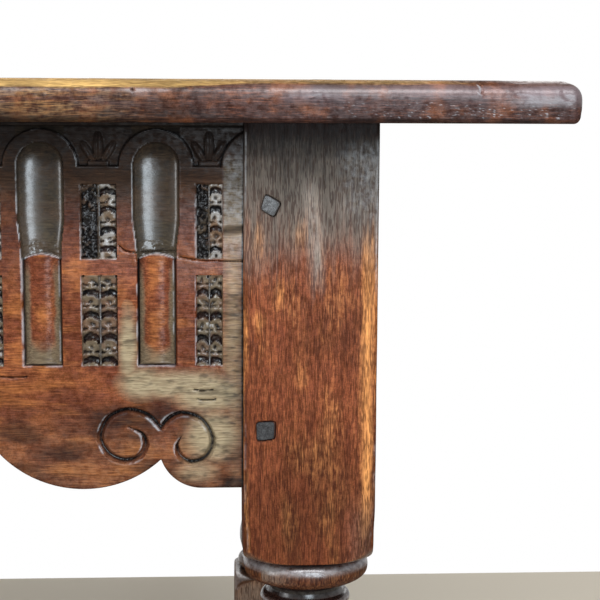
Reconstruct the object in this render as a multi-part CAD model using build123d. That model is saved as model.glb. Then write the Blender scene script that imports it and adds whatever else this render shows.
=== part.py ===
"""Joined oak communion table: plank top, carved frieze with a shaped apron, turned legs, box stretchers.

Millimetres. X runs along the table, the front faces -Y, Z is up and the floor is z = 0.
The origin is on the floor under the middle of the top.
"""

import math
import os

from build123d import *

# ---------------- overall sizes
TOP_LENGTH = 1494.0
TOP_DEPTH = 664.0
TABLE_HEIGHT = 743.5
TOP_THICKNESS = 26.5
END_OVERHANG = 122.0
FRONT_OVERHANG = 40.0
LEG_SIZE = 88.0

# ---------------- top boards
MIDDLE_BOARD_WIDTH = 228.0
BOARD_GAP = 0.3
UPPER_ROUND_DOWN = 11.0
FRONT_ROUND_IN = 14.0
END_ROUND_IN = 16.0
LOWER_ROUND = 4.0
CORNER_ROUND = 6.0
TONGUE_THICKNESS = 8.0
TONGUE_WIDTH = 24.0
TONGUE_STOP = 90.0

# ---------------- frieze rails
RAIL_HEIGHT = 242.0
RAIL_THICKNESS = 28.0
RAIL_SETBACK = 4.0

# ---------------- carving, down from the rail's top
ARCH_PITCH_WANTED = 74.0
END_ARCH_INSET = 56.0
ARCH_RADIUS = 23.5
ARCH_SPRING = 29.2
FLUTE_WIDTH = 30.0
FLUTE_DEPTH = 6.0
FLUTE_CROWN = 13.7
STOP_ABOVE_BAR = 2.5
STOP_WIDTH = 22.5
STOP_RELIEF = 4.5
BAND_WIDTH = 10.4
BAR_HEIGHT = 10.5
PANEL_DEPTH = 3.5
PANEL_TOP = 40.0
UPPER_PANEL_SHARE = 0.45
PLAIN_EDGE = 40.5
END_STILE = 13.2
SPANDREL_TOP = 3.0
SPANDREL_DEPTH = 3.0

# ---------------- apron, out from the leg, up from the rail's foot
BRACKET_FLAT = 27.0
CUSP_OUT = 54.1
CUSP_RISE = 19.6
LOBE_OUT = 104.7
LOBE_RISE = 74.5
MIDDLE_RISE = 42.0
EASE_RADIUS = 40.0

# ---------------- legs, upper members down from the leg's top
BLOCK_BELOW_RAIL = 34.4
TORUS_RADIUS = 43.7
TORUS_HEIGHT = 21.5
NECK_RADIUS = 25.2
NECK_HEIGHT = 11.5
RING_RADIUS = 31.2
RING_HEIGHT = 8.0
MEMBER_BULGE_SHARE = 0.45
QUIRK = 1.2
VASE_TOP_RADIUS = 22.5
VASE_RADIUS = 38.0
VASE_BELLY_UP = 27.0
VASE_FOOT_RADIUS = 33.0
LOW_TORUS_RADIUS = 40.3
LOW_TORUS_HEIGHT = 13.0

# ---------------- legs, lower members up from the floor
FOOT_BLOCK_FOOT = 95.0
FOOT_BLOCK_HEIGHT = 130.0
FOOT_NECK_RADIUS = 28.0
FOOT_NECK_DROP = 9.0
FOOT_RADIUS = 41.0
FOOT_BELLY_UP = 33.0
FOOT_BASE_RADIUS = 32.0

# ---------------- stretchers and bearers
STRETCHER_HEIGHT = 70.0
STRETCHER_THICKNESS = 34.0
STRETCHER_SETBACK = 8.0
STRETCHER_ROUND = 7.0
BEARER_WIDTH = 60.0
BEARER_HEIGHT = 45.0
BEARER_SPACING = 380.0
BEARER_HOUSING = 8.0

# ---------------- joints
TENON_LENGTH = 45.0
TENON_THICKNESS = 10.0
TENON_FROM_FACE = 14.0
UPPER_TENON_TOP = 24.0
UPPER_TENON_HEIGHT = 80.0
LOWER_TENON_HEIGHT = 60.0
LOWER_TENON_RISE = 24.0
STRETCHER_TENON_HEIGHT = 50.0
TENON_CLEARANCE = 0.15

PEG_HEAD = 11.5
PEG_HEAD_DEPTH = 6.0
PEG_SHANK_RADIUS = 4.7
PEG_LENGTH = 36.0
PEG_PROUD = 0.8
PEG_CLEARANCE = 0.1
CUTTER_SPARE = 1.0
UPPER_PEG_OUT = 17.0
UPPER_PEG_DOWN = 54.0
UPPER_PEG_TURN = 17.0
LOWER_PEG_OUT = 14.5
LOWER_PEG_RISE = 39.6
LOWER_PEG_TURN = 4.0
STRETCHER_PEG_OUT = 18.0
STRETCHER_PEG_TURN = 9.0
TOP_PEG_LENGTH = 58.0
TOP_PEG_TURN_STEP = 5.0
TOP_PEG_SPREAD = 400.0
BEARER_PEG_SPREAD = 120.0

# ---------------- worked out from the sizes above
LEG_HEIGHT = TABLE_HEIGHT - TOP_THICKNESS
FRAME_LENGTH = TOP_LENGTH - 2 * END_OVERHANG
FRAME_DEPTH = TOP_DEPTH - 2 * FRONT_OVERHANG
LONG_CLEAR = FRAME_LENGTH - 2 * LEG_SIZE
SHORT_CLEAR = FRAME_DEPTH - 2 * LEG_SIZE
HEAD_BLOCK = RAIL_HEIGHT + BLOCK_BELOW_RAIL
MIDDLE_EDGE_DOWN = RAIL_HEIGHT - MIDDLE_RISE
PANEL_FOOT = MIDDLE_EDGE_DOWN - PLAIN_EDGE
UPPER_PANEL_FOOT = PANEL_TOP + UPPER_PANEL_SHARE * (PANEL_FOOT - PANEL_TOP - BAR_HEIGHT)
LOWER_PANEL_TOP = UPPER_PANEL_FOOT + BAR_HEIGHT
STOP_TOP = UPPER_PANEL_FOOT - STOP_ABOVE_BAR
SPANDREL_FOOT = PANEL_TOP - BAR_HEIGHT
STRETCHER_MIDDLE = FOOT_BLOCK_FOOT + FOOT_BLOCK_HEIGHT / 2
TOP_JOINT_Y = MIDDLE_BOARD_WIDTH / 2 + BOARD_GAP / 2
SIDE_TURN = {"front": 0, "right": 90, "back": 180, "left": -90}


class Side:
    """One side of the frame, drawn as if it were the front.

    clear is the length between the legs and reach is the distance out to the legs' outer faces.
    """

    def __init__(self, name):
        long_side = name in ("front", "back")
        self.name = name
        self.clear = LONG_CLEAR if long_side else SHORT_CLEAR
        self.reach = (FRAME_DEPTH if long_side else FRAME_LENGTH) / 2
        self.turn = Rot(0, 0, SIDE_TURN[name])


SIDES = [Side(name) for name in SIDE_TURN]


def block(x, y, z):
    """A box between two corners, given as (low, high) along each axis."""
    size = [high - low for low, high in (x, y, z)]
    middle = [(high + low) / 2 for low, high in (x, y, z)]
    return Pos(*middle) * Box(*size)


# ---------------- pegs and tenons
def peg(head_depth, length, proud, turn, grow=0.0):
    """A hand-cut peg along +Y: square head, then a round shank. The face it enters is y = 0."""
    side = PEG_HEAD + 2 * grow
    head = block((-side / 2, side / 2), (-proud, head_depth + grow), (-side / 2, side / 2))
    shank = Cylinder(PEG_SHANK_RADIUS + grow, length + grow, align=(Align.CENTER, Align.CENTER, Align.MIN))
    return Rot(0, turn, 0) * head + Rot(-90, 0, 0) * shank


def side_pegs(side, places, grow=0.0):
    """Pegs through both ends of one side; places are (out from the shoulder, height, turn)."""
    made = []
    for end in (-1, 1):
        for out, height, turn in places:
            spot = Pos(end * (side.clear / 2 + out), -side.reach, height)
            made.append(side.turn * spot * peg(PEG_HEAD_DEPTH, PEG_LENGTH, PEG_PROUD, end * turn, grow))
    return made


def tenons(side, spans, grow=0.0):
    """The tenons of one side, both ends; spans are (low, high) heights. The grown ones are the mortises."""
    face = -side.reach + TENON_FROM_FACE
    thickness = (face - grow, face + TENON_THICKNESS + grow)
    made = []
    for end in (-1, 1):
        reach = sorted((end * side.clear / 2, end * (side.clear / 2 + TENON_LENGTH + grow)))
        for low, high in spans:
            made.append(side.turn * block(reach, thickness, (low - grow, high + grow)))
    return made


def frieze_peg_places():
    foot = LEG_HEIGHT - RAIL_HEIGHT
    return [(UPPER_PEG_OUT, LEG_HEIGHT - UPPER_PEG_DOWN, UPPER_PEG_TURN),
            (LOWER_PEG_OUT, foot + LOWER_PEG_RISE, LOWER_PEG_TURN)]


def frieze_tenon_spans():
    upper_top = LEG_HEIGHT - UPPER_TENON_TOP
    lower_foot = LEG_HEIGHT - RAIL_HEIGHT + LOWER_TENON_RISE
    return [(upper_top - UPPER_TENON_HEIGHT, upper_top), (lower_foot, lower_foot + LOWER_TENON_HEIGHT)]


def stretcher_peg_places():
    return [(STRETCHER_PEG_OUT, STRETCHER_MIDDLE, STRETCHER_PEG_TURN)]


def stretcher_tenon_spans():
    half = STRETCHER_TENON_HEIGHT / 2
    return [(STRETCHER_MIDDLE - half, STRETCHER_MIDDLE + half)]


# ---------------- top
def top_peg_spots():
    """Plan positions of the pegs that hold the boards down on the rails and the bearers."""
    rail_in = RAIL_SETBACK + RAIL_THICKNESS / 2
    long_y = FRAME_DEPTH / 2 - rail_in
    short_x = FRAME_LENGTH / 2 - rail_in
    spots = [(x, y) for x in (-TOP_PEG_SPREAD, 0, TOP_PEG_SPREAD) for y in (-long_y, long_y)]
    spots += [(x, y) for x in (-BEARER_SPACING / 2, BEARER_SPACING / 2)
              for y in (-BEARER_PEG_SPREAD / 2, BEARER_PEG_SPREAD / 2)]
    return spots + [(-short_x, 0), (short_x, 0)]


def top_pegs(grow=0.0):
    """Pegs driven down from the top's upper face, cut off flush with it."""
    down = Rot(-90, 0, 0)
    made = []
    for index, (x, y) in enumerate(top_peg_spots()):
        spot = Pos(x, y, TABLE_HEIGHT) * down
        made.append(spot * peg(PEG_HEAD_DEPTH, TOP_PEG_LENGTH, 0, TOP_PEG_TURN_STEP * index, grow))
    return made


def tongue(sign, grow=0.0):
    """The loose tongue between the middle board and the front (-1) or back (+1) board."""
    size = (TOP_LENGTH - 2 * TONGUE_STOP, TONGUE_WIDTH, TONGUE_THICKNESS)
    middle = LEG_HEIGHT + TOP_THICKNESS / 2
    return Pos(0, sign * TOP_JOINT_Y, middle) * Box(*[along + 2 * grow for along in size])


def slab_section(width, round_in):
    """Section of the whole top: a plank with flat-elliptical upper edges and small rounds below."""
    half = width / 2
    section = Pos(0, LEG_HEIGHT + TOP_THICKNESS / 2) * Rectangle(width, TOP_THICKNESS)
    section = fillet(section.vertices().group_by(Axis.Y)[0], LOWER_ROUND)
    start = TABLE_HEIGHT - UPPER_ROUND_DOWN
    for end in (-1, 1):
        corner = Rectangle(round_in, UPPER_ROUND_DOWN)
        corner = Pos(end * (half - round_in / 2), start + UPPER_ROUND_DOWN / 2) * corner
        section -= corner - Pos(end * (half - round_in), start) * Ellipse(round_in, UPPER_ROUND_DOWN)
    return section


def top_boards():
    lengthways = extrude(Plane.YZ * slab_section(TOP_DEPTH, FRONT_ROUND_IN), TOP_LENGTH / 2, both=True)
    crossways = extrude(Plane.XZ * slab_section(TOP_LENGTH, END_ROUND_IN), TOP_DEPTH / 2, both=True)
    plan = extrude(RectangleRounded(TOP_LENGTH, TOP_DEPTH, CORNER_ROUND), TOP_THICKNESS)
    plan = Pos(0, 0, LEG_HEIGHT) * plan
    slab = lengthways & crossways & plan
    slab -= [tongue(sign, TENON_CLEARANCE) for sign in (-1, 1)]
    slab -= top_pegs(PEG_CLEARANCE)
    edge = MIDDLE_BOARD_WIDTH / 2
    cuts = {
        "top_board_front": (-TOP_DEPTH / 2, -edge - BOARD_GAP),
        "top_board_middle": (-edge, edge),
        "top_board_back": (edge + BOARD_GAP, TOP_DEPTH / 2),
    }
    length = (-TOP_LENGTH / 2, TOP_LENGTH / 2)
    height = (LEG_HEIGHT, TABLE_HEIGHT)
    return {name: slab & block(length, span, height) for name, span in cuts.items()}


# ---------------- legs
def bead(core, radius, top, foot):
    """A half-round member that stands out from its core radius to its full radius."""
    return ThreePointArc((core, top), (radius, (top + foot) / 2), (core, foot))


def block_shoulder(arris, down):
    """The quarter round turned under (down = 1) or over (down = -1) a square block, out to its corners."""
    half = LEG_SIZE / 2
    corner = half * math.sqrt(2)
    drop = corner - half
    bend = drop * math.sqrt(0.5)
    return ThreePointArc((corner, arris), (half + bend, arris - down * bend), (half, arris - down * drop))


def leg_profile():
    """Half outline of the turning. Round the blocks it stands clear of their corners."""
    half = LEG_SIZE / 2
    corner = half * math.sqrt(2)
    shoulder = corner - half
    clear = corner + shoulder

    head_arris = LEG_HEIGHT - HEAD_BLOCK
    head_foot = head_arris - shoulder
    torus_top = head_foot - QUIRK
    torus_core = TORUS_RADIUS - TORUS_HEIGHT * MEMBER_BULGE_SHARE
    neck_top = torus_top - TORUS_HEIGHT
    ring_top = neck_top - NECK_HEIGHT
    ring_core = RING_RADIUS - RING_HEIGHT * MEMBER_BULGE_SHARE
    vase_top = ring_top - RING_HEIGHT

    foot_arris = FOOT_BLOCK_FOOT + FOOT_BLOCK_HEIGHT
    low_torus_foot = foot_arris + shoulder + QUIRK
    low_torus_core = LOW_TORUS_RADIUS - LOW_TORUS_HEIGHT * MEMBER_BULGE_SHARE
    vase_foot = low_torus_foot + LOW_TORUS_HEIGHT
    foot_top = FOOT_BLOCK_FOOT - shoulder
    foot_lip = (FOOT_NECK_RADIUS + FOOT_NECK_DROP, foot_top)

    with BuildSketch(Plane.XZ) as outline:
        with BuildLine():
            Polyline((0, LEG_HEIGHT), (clear, LEG_HEIGHT), (clear, head_arris), (corner, head_arris))
            block_shoulder(head_arris, 1)
            Line((half, head_foot), (torus_core, torus_top))
            bead(torus_core, TORUS_RADIUS, torus_top, neck_top)
            ThreePointArc((torus_core, neck_top), (NECK_RADIUS, (neck_top + ring_top) / 2),
                          (ring_core, ring_top))
            bead(ring_core, RING_RADIUS, ring_top, vase_top)
            Line((ring_core, vase_top), (VASE_TOP_RADIUS, vase_top - QUIRK))
            Spline((VASE_TOP_RADIUS, vase_top - QUIRK), (VASE_RADIUS, vase_foot + VASE_BELLY_UP),
                   (VASE_FOOT_RADIUS, vase_foot), tangents=[(0.1, -1), (0, -1), (-0.6, -1)])
            Line((VASE_FOOT_RADIUS, vase_foot), (low_torus_core, vase_foot))
            bead(low_torus_core, LOW_TORUS_RADIUS, vase_foot, low_torus_foot)
            Line((low_torus_core, low_torus_foot), (half, foot_arris + shoulder))
            block_shoulder(foot_arris, -1)
            Polyline((corner, foot_arris), (clear, foot_arris), (clear, FOOT_BLOCK_FOOT),
                     (corner, FOOT_BLOCK_FOOT))
            block_shoulder(FOOT_BLOCK_FOOT, 1)
            Line((half, foot_top), foot_lip)
            Spline(foot_lip, (FOOT_NECK_RADIUS, foot_top - FOOT_NECK_DROP), (FOOT_RADIUS, FOOT_BELLY_UP),
                   (FOOT_BASE_RADIUS, 0), tangents=[(-1, -0.3), (0, -1), (0, -1), (-1, -0.9)])
            Polyline((FOOT_BASE_RADIUS, 0), (0, 0), (0, LEG_HEIGHT))
        make_face()
    return outline.sketch


def front_right_leg():
    """Square stick, turned between its blocks, then mortised and bored for the pegs."""
    centre = Pos(FRAME_LENGTH / 2 - LEG_SIZE / 2, -FRAME_DEPTH / 2 + LEG_SIZE / 2, 0)
    stick = Box(LEG_SIZE, LEG_SIZE, LEG_HEIGHT, align=(Align.CENTER, Align.CENTER, Align.MIN))
    leg = centre * (stick & revolve(leg_profile(), Axis.Z))
    for side in SIDES[:2]:
        leg -= tenons(side, frieze_tenon_spans() + stretcher_tenon_spans(), TENON_CLEARANCE)
        leg -= side_pegs(side, frieze_peg_places() + stretcher_peg_places(), PEG_CLEARANCE)
    return leg


def legs():
    right = front_right_leg()
    left = mirror(right, about=Plane.YZ)
    return {
        "leg_front_right": right,
        "leg_front_left": left,
        "leg_back_right": mirror(right, about=Plane.XZ),
        "leg_back_left": mirror(left, about=Plane.XZ),
    }


# ---------------- frieze rails
def arc_about(centre, radius, start, end):
    """The shorter arc of a circle between two points that lie on it."""
    middle = Vector((start[0] + end[0]) / 2 - centre[0], (start[1] + end[1]) / 2 - centre[1]).normalized()
    return ThreePointArc(start, (centre[0] + radius * middle.X, centre[1] + radius * middle.Y), end)


def rail_outline(clear):
    """Front view of a rail with its top at 0.

    The lower edge is level at the leg, rises to a cusp, goes round a lobe and eases up to the middle.
    """
    half = clear / 2
    run = CUSP_OUT - BRACKET_FLAT
    bracket_radius = (run ** 2 + CUSP_RISE ** 2) / (2 * CUSP_RISE)
    cusp = (half - CUSP_OUT, -RAIL_HEIGHT + CUSP_RISE)
    bracket_start = (half - BRACKET_FLAT, -RAIL_HEIGHT)
    bracket_centre = (half - BRACKET_FLAT, -RAIL_HEIGHT + bracket_radius)

    lobe_centre = (half - LOBE_OUT, -RAIL_HEIGHT + LOBE_RISE)
    lobe_radius = math.dist(lobe_centre, cusp)
    ease_drop = LOBE_RISE - MIDDLE_RISE + EASE_RADIUS
    reach = lobe_radius + EASE_RADIUS
    ease_run = math.sqrt(reach ** 2 - ease_drop ** 2)
    ease_centre = (lobe_centre[0] - ease_run, lobe_centre[1] - ease_drop)
    share = lobe_radius / reach
    join = (lobe_centre[0] - share * ease_run, lobe_centre[1] - share * ease_drop)
    level = (ease_centre[0], -MIDDLE_EDGE_DOWN)
    lobe_foot = (lobe_centre[0], lobe_centre[1] - lobe_radius)

    with BuildSketch(Plane.XZ) as outline:
        with BuildLine() as edge:
            Polyline((0, 0), (half, 0), (half, -RAIL_HEIGHT), bracket_start)
            arc_about(bracket_centre, bracket_radius, bracket_start, cusp)
            arc_about(lobe_centre, lobe_radius, cusp, lobe_foot)
            arc_about(lobe_centre, lobe_radius, lobe_foot, join)
            arc_about(ease_centre, EASE_RADIUS, join, level)
            Line(level, (0, -MIDDLE_EDGE_DOWN))
            mirror(edge.line, about=Plane.YZ)
        make_face()
    return outline.sketch


def arch_centres(clear):
    """As many arches as come nearest to the wanted pitch, evenly spaced between the end ones."""
    run = clear - 2 * END_ARCH_INSET
    gaps = max(1, round(run / ARCH_PITCH_WANTED))
    return [-run / 2 + run * index / gaps for index in range(gaps + 1)]


def panel_spans(clear):
    """Left and right edges of the sunk panels: one between each two arches, a narrower one at each end."""
    centres = arch_centres(clear)
    out = FLUTE_WIDTH / 2 + BAND_WIDTH
    inner = [(left + out, right - out) for left, right in zip(centres, centres[1:])]
    end = (centres[-1] + out, clear / 2 - END_STILE)
    return [(-end[1], -end[0])] + inner + [end]


def upright(x, top, foot):
    """A flat rectangle in the rail's face between two edges, given down from the rail's top."""
    return Pos((x[0] + x[1]) / 2, -(top + foot) / 2) * Rectangle(x[1] - x[0], foot - top)


def cut_into_face(sketch, reach, depth):
    """Sink a flat shape, drawn x across and y up, into the rail's outer face."""
    face_y = -reach + RAIL_SETBACK
    lifted = Pos(0, face_y + depth, LEG_HEIGHT) * Rot(90, 0, 0) * sketch
    return extrude(lifted, depth + CUTTER_SPARE, dir=(0, -1, 0))


def carving(side):
    """The sunk work: arch-headed flutes with a half-round stop in the lower part, panels and spandrels."""
    centres = arch_centres(side.clear)
    head = FLUTE_CROWN + FLUTE_WIDTH / 2
    flutes = Sketch()
    stops = []
    arches = Sketch()
    for x in centres:
        half = FLUTE_WIDTH / 2
        flutes += upright((x - half, x + half), head, PANEL_FOOT) + Pos(x, -head) * Circle(half)
        arches += Pos(x, -ARCH_SPRING) * Circle(ARCH_RADIUS)
        arches += upright((x - ARCH_RADIUS, x + ARCH_RADIUS), ARCH_SPRING, SPANDREL_FOOT)
        stops.append(stop_reed(x, side.reach))
    panels = Sketch()
    for span in panel_spans(side.clear):
        panels += upright(span, PANEL_TOP, UPPER_PANEL_FOOT)
        panels += upright(span, LOWER_PANEL_TOP, PANEL_FOOT)
    end = side.clear / 2 - END_STILE
    spandrels = upright((-end, end), SPANDREL_TOP, SPANDREL_FOOT) - arches
    cuts = [cut_into_face(flutes, side.reach, FLUTE_DEPTH), cut_into_face(panels, side.reach, PANEL_DEPTH),
            cut_into_face(spandrels, side.reach, SPANDREL_DEPTH)]
    return cuts, stops


def stop_reed(x, reach):
    """The rounded reed left standing in the lower part of a flute."""
    half = STOP_WIDTH / 2
    radius = (half ** 2 + STOP_RELIEF ** 2) / (2 * STOP_RELIEF)
    floor_y = -reach + RAIL_SETBACK + FLUTE_DEPTH
    length = PANEL_FOOT - STOP_TOP
    middle_z = LEG_HEIGHT - (PANEL_FOOT + STOP_TOP) / 2
    round_bar = Pos(x, floor_y - STOP_RELIEF + radius, middle_z) * Cylinder(radius, length)
    heights = (middle_z - length / 2, middle_z + length / 2)
    return round_bar & block((x - half, x + half), (floor_y - STOP_RELIEF, floor_y), heights)


def bearer(x, grow=0.0):
    """A cross bearer, housed at both ends into the backs of the long rails, level with their tops."""
    inner = FRAME_DEPTH / 2 - RAIL_SETBACK - RAIL_THICKNESS + BEARER_HOUSING + grow
    width = BEARER_WIDTH / 2 + grow
    return block((x - width, x + width), (-inner, inner), (LEG_HEIGHT - BEARER_HEIGHT - grow, LEG_HEIGHT))


def frieze_rail(side):
    face = -side.reach + RAIL_SETBACK
    rail = extrude(Pos(0, face, LEG_HEIGHT) * rail_outline(side.clear), RAIL_THICKNESS, dir=(0, 1, 0))
    cuts, stops = carving(side)
    rail = rail - cuts + stops
    rail = side.turn * rail
    rail += tenons(side, frieze_tenon_spans())
    rail -= side_pegs(side, frieze_peg_places(), PEG_CLEARANCE)
    rail -= top_pegs(PEG_CLEARANCE)
    if side.name in ("front", "back"):
        rail -= [bearer(x, TENON_CLEARANCE) for x in (-BEARER_SPACING / 2, BEARER_SPACING / 2)]
    return rail


# ---------------- stretchers
def stretcher(side):
    face = -side.reach + STRETCHER_SETBACK
    half_height = STRETCHER_HEIGHT / 2
    bar = block((-side.clear / 2, side.clear / 2), (face, face + STRETCHER_THICKNESS),
                (STRETCHER_MIDDLE - half_height, STRETCHER_MIDDLE + half_height))
    upper_edges = bar.edges().filter_by(Axis.X).group_by(Axis.Z)[-1]
    bar = side.turn * fillet(upper_edges, STRETCHER_ROUND)
    bar += tenons(side, stretcher_tenon_spans())
    bar -= side_pegs(side, stretcher_peg_places(), PEG_CLEARANCE)
    return bar


# ---------------- write every piece
def build():
    nodes = {}
    nodes.update(top_boards())
    nodes["top_tongue_front"] = tongue(-1)
    nodes["top_tongue_back"] = tongue(1)
    nodes["top_pegs"] = top_pegs()
    nodes.update(legs())
    for side in SIDES:
        nodes["frieze_" + side.name] = frieze_rail(side)
        nodes["stretcher_" + side.name] = stretcher(side)
        nodes["frieze_pegs_" + side.name] = side_pegs(side, frieze_peg_places())
        nodes["stretcher_pegs_" + side.name] = side_pegs(side, stretcher_peg_places())
    drill = top_pegs(PEG_CLEARANCE)
    nodes["bearer_left"] = bearer(-BEARER_SPACING / 2) - drill
    nodes["bearer_right"] = bearer(BEARER_SPACING / 2) - drill
    return nodes


os.makedirs("parts", exist_ok=True)
for node_name, shape in build().items():
    if isinstance(shape, list):
        shape = Compound(children=[piece.solid() for piece in shape])
    export_step(shape, f"parts/{node_name}.step")
    print(node_name, len(shape.solids()), "solid(s)")
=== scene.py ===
# %% [markdown]
# # An old joined oak communion table
# A joined table is a frame of rails and turned legs held with tenons and wooden pegs, with planks laid on
# top. The solid model already fixes every size. Here each piece gets the surface that four centuries of
# hands, wax and soot would give it. We load that model first, so that every later step can measure from it.

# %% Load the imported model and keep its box
import math
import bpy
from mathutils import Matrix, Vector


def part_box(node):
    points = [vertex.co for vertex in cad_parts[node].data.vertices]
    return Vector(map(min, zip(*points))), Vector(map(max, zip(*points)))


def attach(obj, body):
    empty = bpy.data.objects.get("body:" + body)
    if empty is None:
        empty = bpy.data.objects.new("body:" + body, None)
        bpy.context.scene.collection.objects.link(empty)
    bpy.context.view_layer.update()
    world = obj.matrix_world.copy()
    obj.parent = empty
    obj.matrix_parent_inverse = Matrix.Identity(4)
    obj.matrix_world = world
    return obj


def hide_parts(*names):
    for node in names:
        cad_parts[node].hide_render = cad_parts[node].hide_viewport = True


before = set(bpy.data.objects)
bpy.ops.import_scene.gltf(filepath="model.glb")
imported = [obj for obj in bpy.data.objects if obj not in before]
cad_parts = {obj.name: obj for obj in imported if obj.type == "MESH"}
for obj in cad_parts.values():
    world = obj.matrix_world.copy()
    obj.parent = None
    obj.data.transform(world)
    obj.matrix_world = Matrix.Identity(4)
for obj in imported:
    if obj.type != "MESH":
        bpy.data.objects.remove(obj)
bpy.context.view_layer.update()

from types import SimpleNamespace

import bpy
import numpy as np
from mathutils import Matrix, Vector

# %% [markdown]
# A woodworker thinks in millimetres and Blender in metres, so all shapes below are worked out in
# millimetres and turned into metres once, when a mesh is made. A few small helpers do most of the work: a
# soft step between two values, a bell round one value, and a cloud of soft random patches. Each cloud comes
# from its own seed, so the table looks the same each time it is built.

# %% Millimetres, soft steps and clouds
MM = 0.001
CLOUD_CELLS = 128
# each finer layer of a cloud is shifted by this much, so that the layers' cells don't line up
LAYER_SHIFT = (11.7, 5.3)


def node_box(name):
    """The lowest and highest corner of a node of the solid model, in millimetres."""
    low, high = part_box(name)
    return np.array(low) / MM, np.array(high) / MM


def ramp(low, high, value):
    """0 before low, 1 after high, with a soft step between; it falls if low is the larger."""
    t = np.clip((value - low) / (high - low), 0, 1)
    return t * t * (3 - 2 * t)


def bell(value, centre, width):
    """1 at the centre, falling softly to nothing about two widths away on both sides."""
    return np.exp(-((value - centre) / width) ** 2)


def most(*masks):
    """The strongest of several masks at each spot, as when one layer of grime lies over another."""
    strongest = masks[0]
    for mask in masks[1:]:
        strongest = np.maximum(strongest, mask)
    return strongest


def cloud(x, y, size, seed, octaves=3):
    """Soft random patches from 0 to 1, about size millimetres across; size may be (across, along)."""
    size_x, size_y = size if isinstance(size, tuple) else (size, size)
    table = np.random.default_rng(seed).random((CLOUD_CELLS, CLOUD_CELLS))
    total, weight = 0.0, 0.0
    for octave in range(octaves):
        fine = 2.0 ** octave
        px, py = x / size_x * fine + LAYER_SHIFT[0] * octave, y / size_y * fine + LAYER_SHIFT[1] * octave
        px, py = np.broadcast_arrays(px, py)
        ix, iy = np.floor(px).astype(int), np.floor(py).astype(int)
        tx, ty = ramp(0, 1, px - ix), ramp(0, 1, py - iy)
        ix, iy, jx, jy = [index % CLOUD_CELLS for index in (ix, iy, ix + 1, iy + 1)]
        low = table[ix, iy] * (1 - tx) + table[jx, iy] * tx
        high = table[ix, jy] * (1 - tx) + table[jx, jy] * tx
        total, weight = total + (low * (1 - ty) + high * ty) / fine, weight + 1 / fine
    return total / weight


sample = np.arange(400.0)
print("clouds ready, mean", round(float(cloud(sample, sample, 9, 1).mean()), 3))

# %% [markdown]
# Every piece is made the same way: rows and columns of points, joined into small four-sided faces, with the
# open ends closed by one flat face each. The helper looks at the sign of the volume and turns all faces
# round together if they point inward. It also stores the paint masks, one number for each point: wear
# (rubbed bright), soot (black grime, and in places painted shade), bloom (grey olive wax haze), pale (a light
# colour, mostly painted highlights and glints) and gloss (polished wax). The materials read them later.

# %% From rows of points to a finished piece
MASKS = ("wear", "soot", "bloom", "pale", "gloss")


def grid_quads(rows, columns, start=0, wrap=False):
    """Four-sided faces between rows of points; wrap joins the last column to the first."""
    index = start + np.arange(rows * columns).reshape(rows, columns)
    if wrap:
        index = np.concatenate([index, index[:, :1]], axis=1)
    corners = index[:-1, :-1], index[:-1, 1:], index[1:, 1:], index[1:, :-1]
    return np.stack(corners, -1).reshape(-1, 4)


def volume_of(points, quads, rims):
    """The volume inside a closed surface, negative if its faces point inward."""
    fans = [quads[:, [0, 1, 2]], quads[:, [0, 2, 3]]]
    for rim in rims:
        fans.append(np.stack([np.full(len(rim) - 2, rim[0]), rim[1:-1], rim[2:]], -1))
    a, b, c = points[np.concatenate(fans).T]
    return float((a * np.cross(b, c)).sum()) / 6


def make_piece(name, points, quads, nodes, rims=(), paint=None, sharp_angle=58):
    """A closed piece that stands for solid nodes. Points are in millimetres, rims are flat end faces."""
    points = np.asarray(points, float).reshape(-1, 3)
    rims = [np.asarray(rim, int) for rim in rims]
    if volume_of(points, quads, rims) < 0:
        quads, rims = quads[:, ::-1], [rim[::-1] for rim in rims]
    sizes = np.concatenate([np.full(len(quads), 4), np.array([len(rim) for rim in rims], int)])
    loops = np.concatenate([quads.ravel(), *rims])
    mesh = bpy.data.meshes.new(name)
    mesh.vertices.add(len(points))
    mesh.vertices.foreach_set("co", (points * MM).astype(np.float32).ravel())
    mesh.loops.add(len(loops))
    mesh.loops.foreach_set("vertex_index", loops.astype(np.int32))
    mesh.polygons.add(len(sizes))
    mesh.polygons.foreach_set("loop_start", (np.cumsum(sizes) - sizes).astype(np.int32))
    mesh.update(calc_edges=True)
    mesh.shade_smooth()
    mesh.set_sharp_from_angle(angle=math.radians(sharp_angle))
    for mask in MASKS:
        values = paint[mask] if paint and mask in paint else np.zeros(len(points))
        layer = mesh.attributes.new(mask, "FLOAT", "POINT")
        layer.data.foreach_set("value", np.clip(values, 0, 1).astype(np.float32).ravel())
    piece = bpy.data.objects.new(name, mesh)
    bpy.context.scene.collection.objects.link(piece)
    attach(piece, "root")
    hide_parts(*nodes)
    print(name, len(points), "points,", len(sizes), "faces")
    return piece


# %% [markdown]
# ## The carved frieze
# Between the legs run four rails. A carver laid out a row of round-headed arches on each, sank a hollow
# flute in every arch, and left a rounded reed standing in the flute's lower part. Between the arches are
# two sunk panels, one above the other, filled with little overlapping scales. The lower edge is sawn into
# an apron with a cusp and a pair of incised scrolls beside each leg. First come the layout sizes, measured
# down from the rail's top and out from the leg, then the sawn edge.

# %% The rail's layout
leg_low, leg_high = node_box("leg_front_right")
rail_low, rail_high = node_box("frieze_front")
LEG_SIZE = leg_high[0] - leg_low[0]
LEG_TOP = leg_high[2]
LONG_CLEAR, SHORT_CLEAR = 2 * leg_low[0], -2 * leg_high[1]
RAIL_SETBACK = rail_low[1] - leg_low[1]
RAIL_THICKNESS = rail_high[1] - rail_low[1]
TENON_LENGTH = rail_high[0] - leg_low[0]
RAIL_HEIGHT = 242.0

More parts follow.
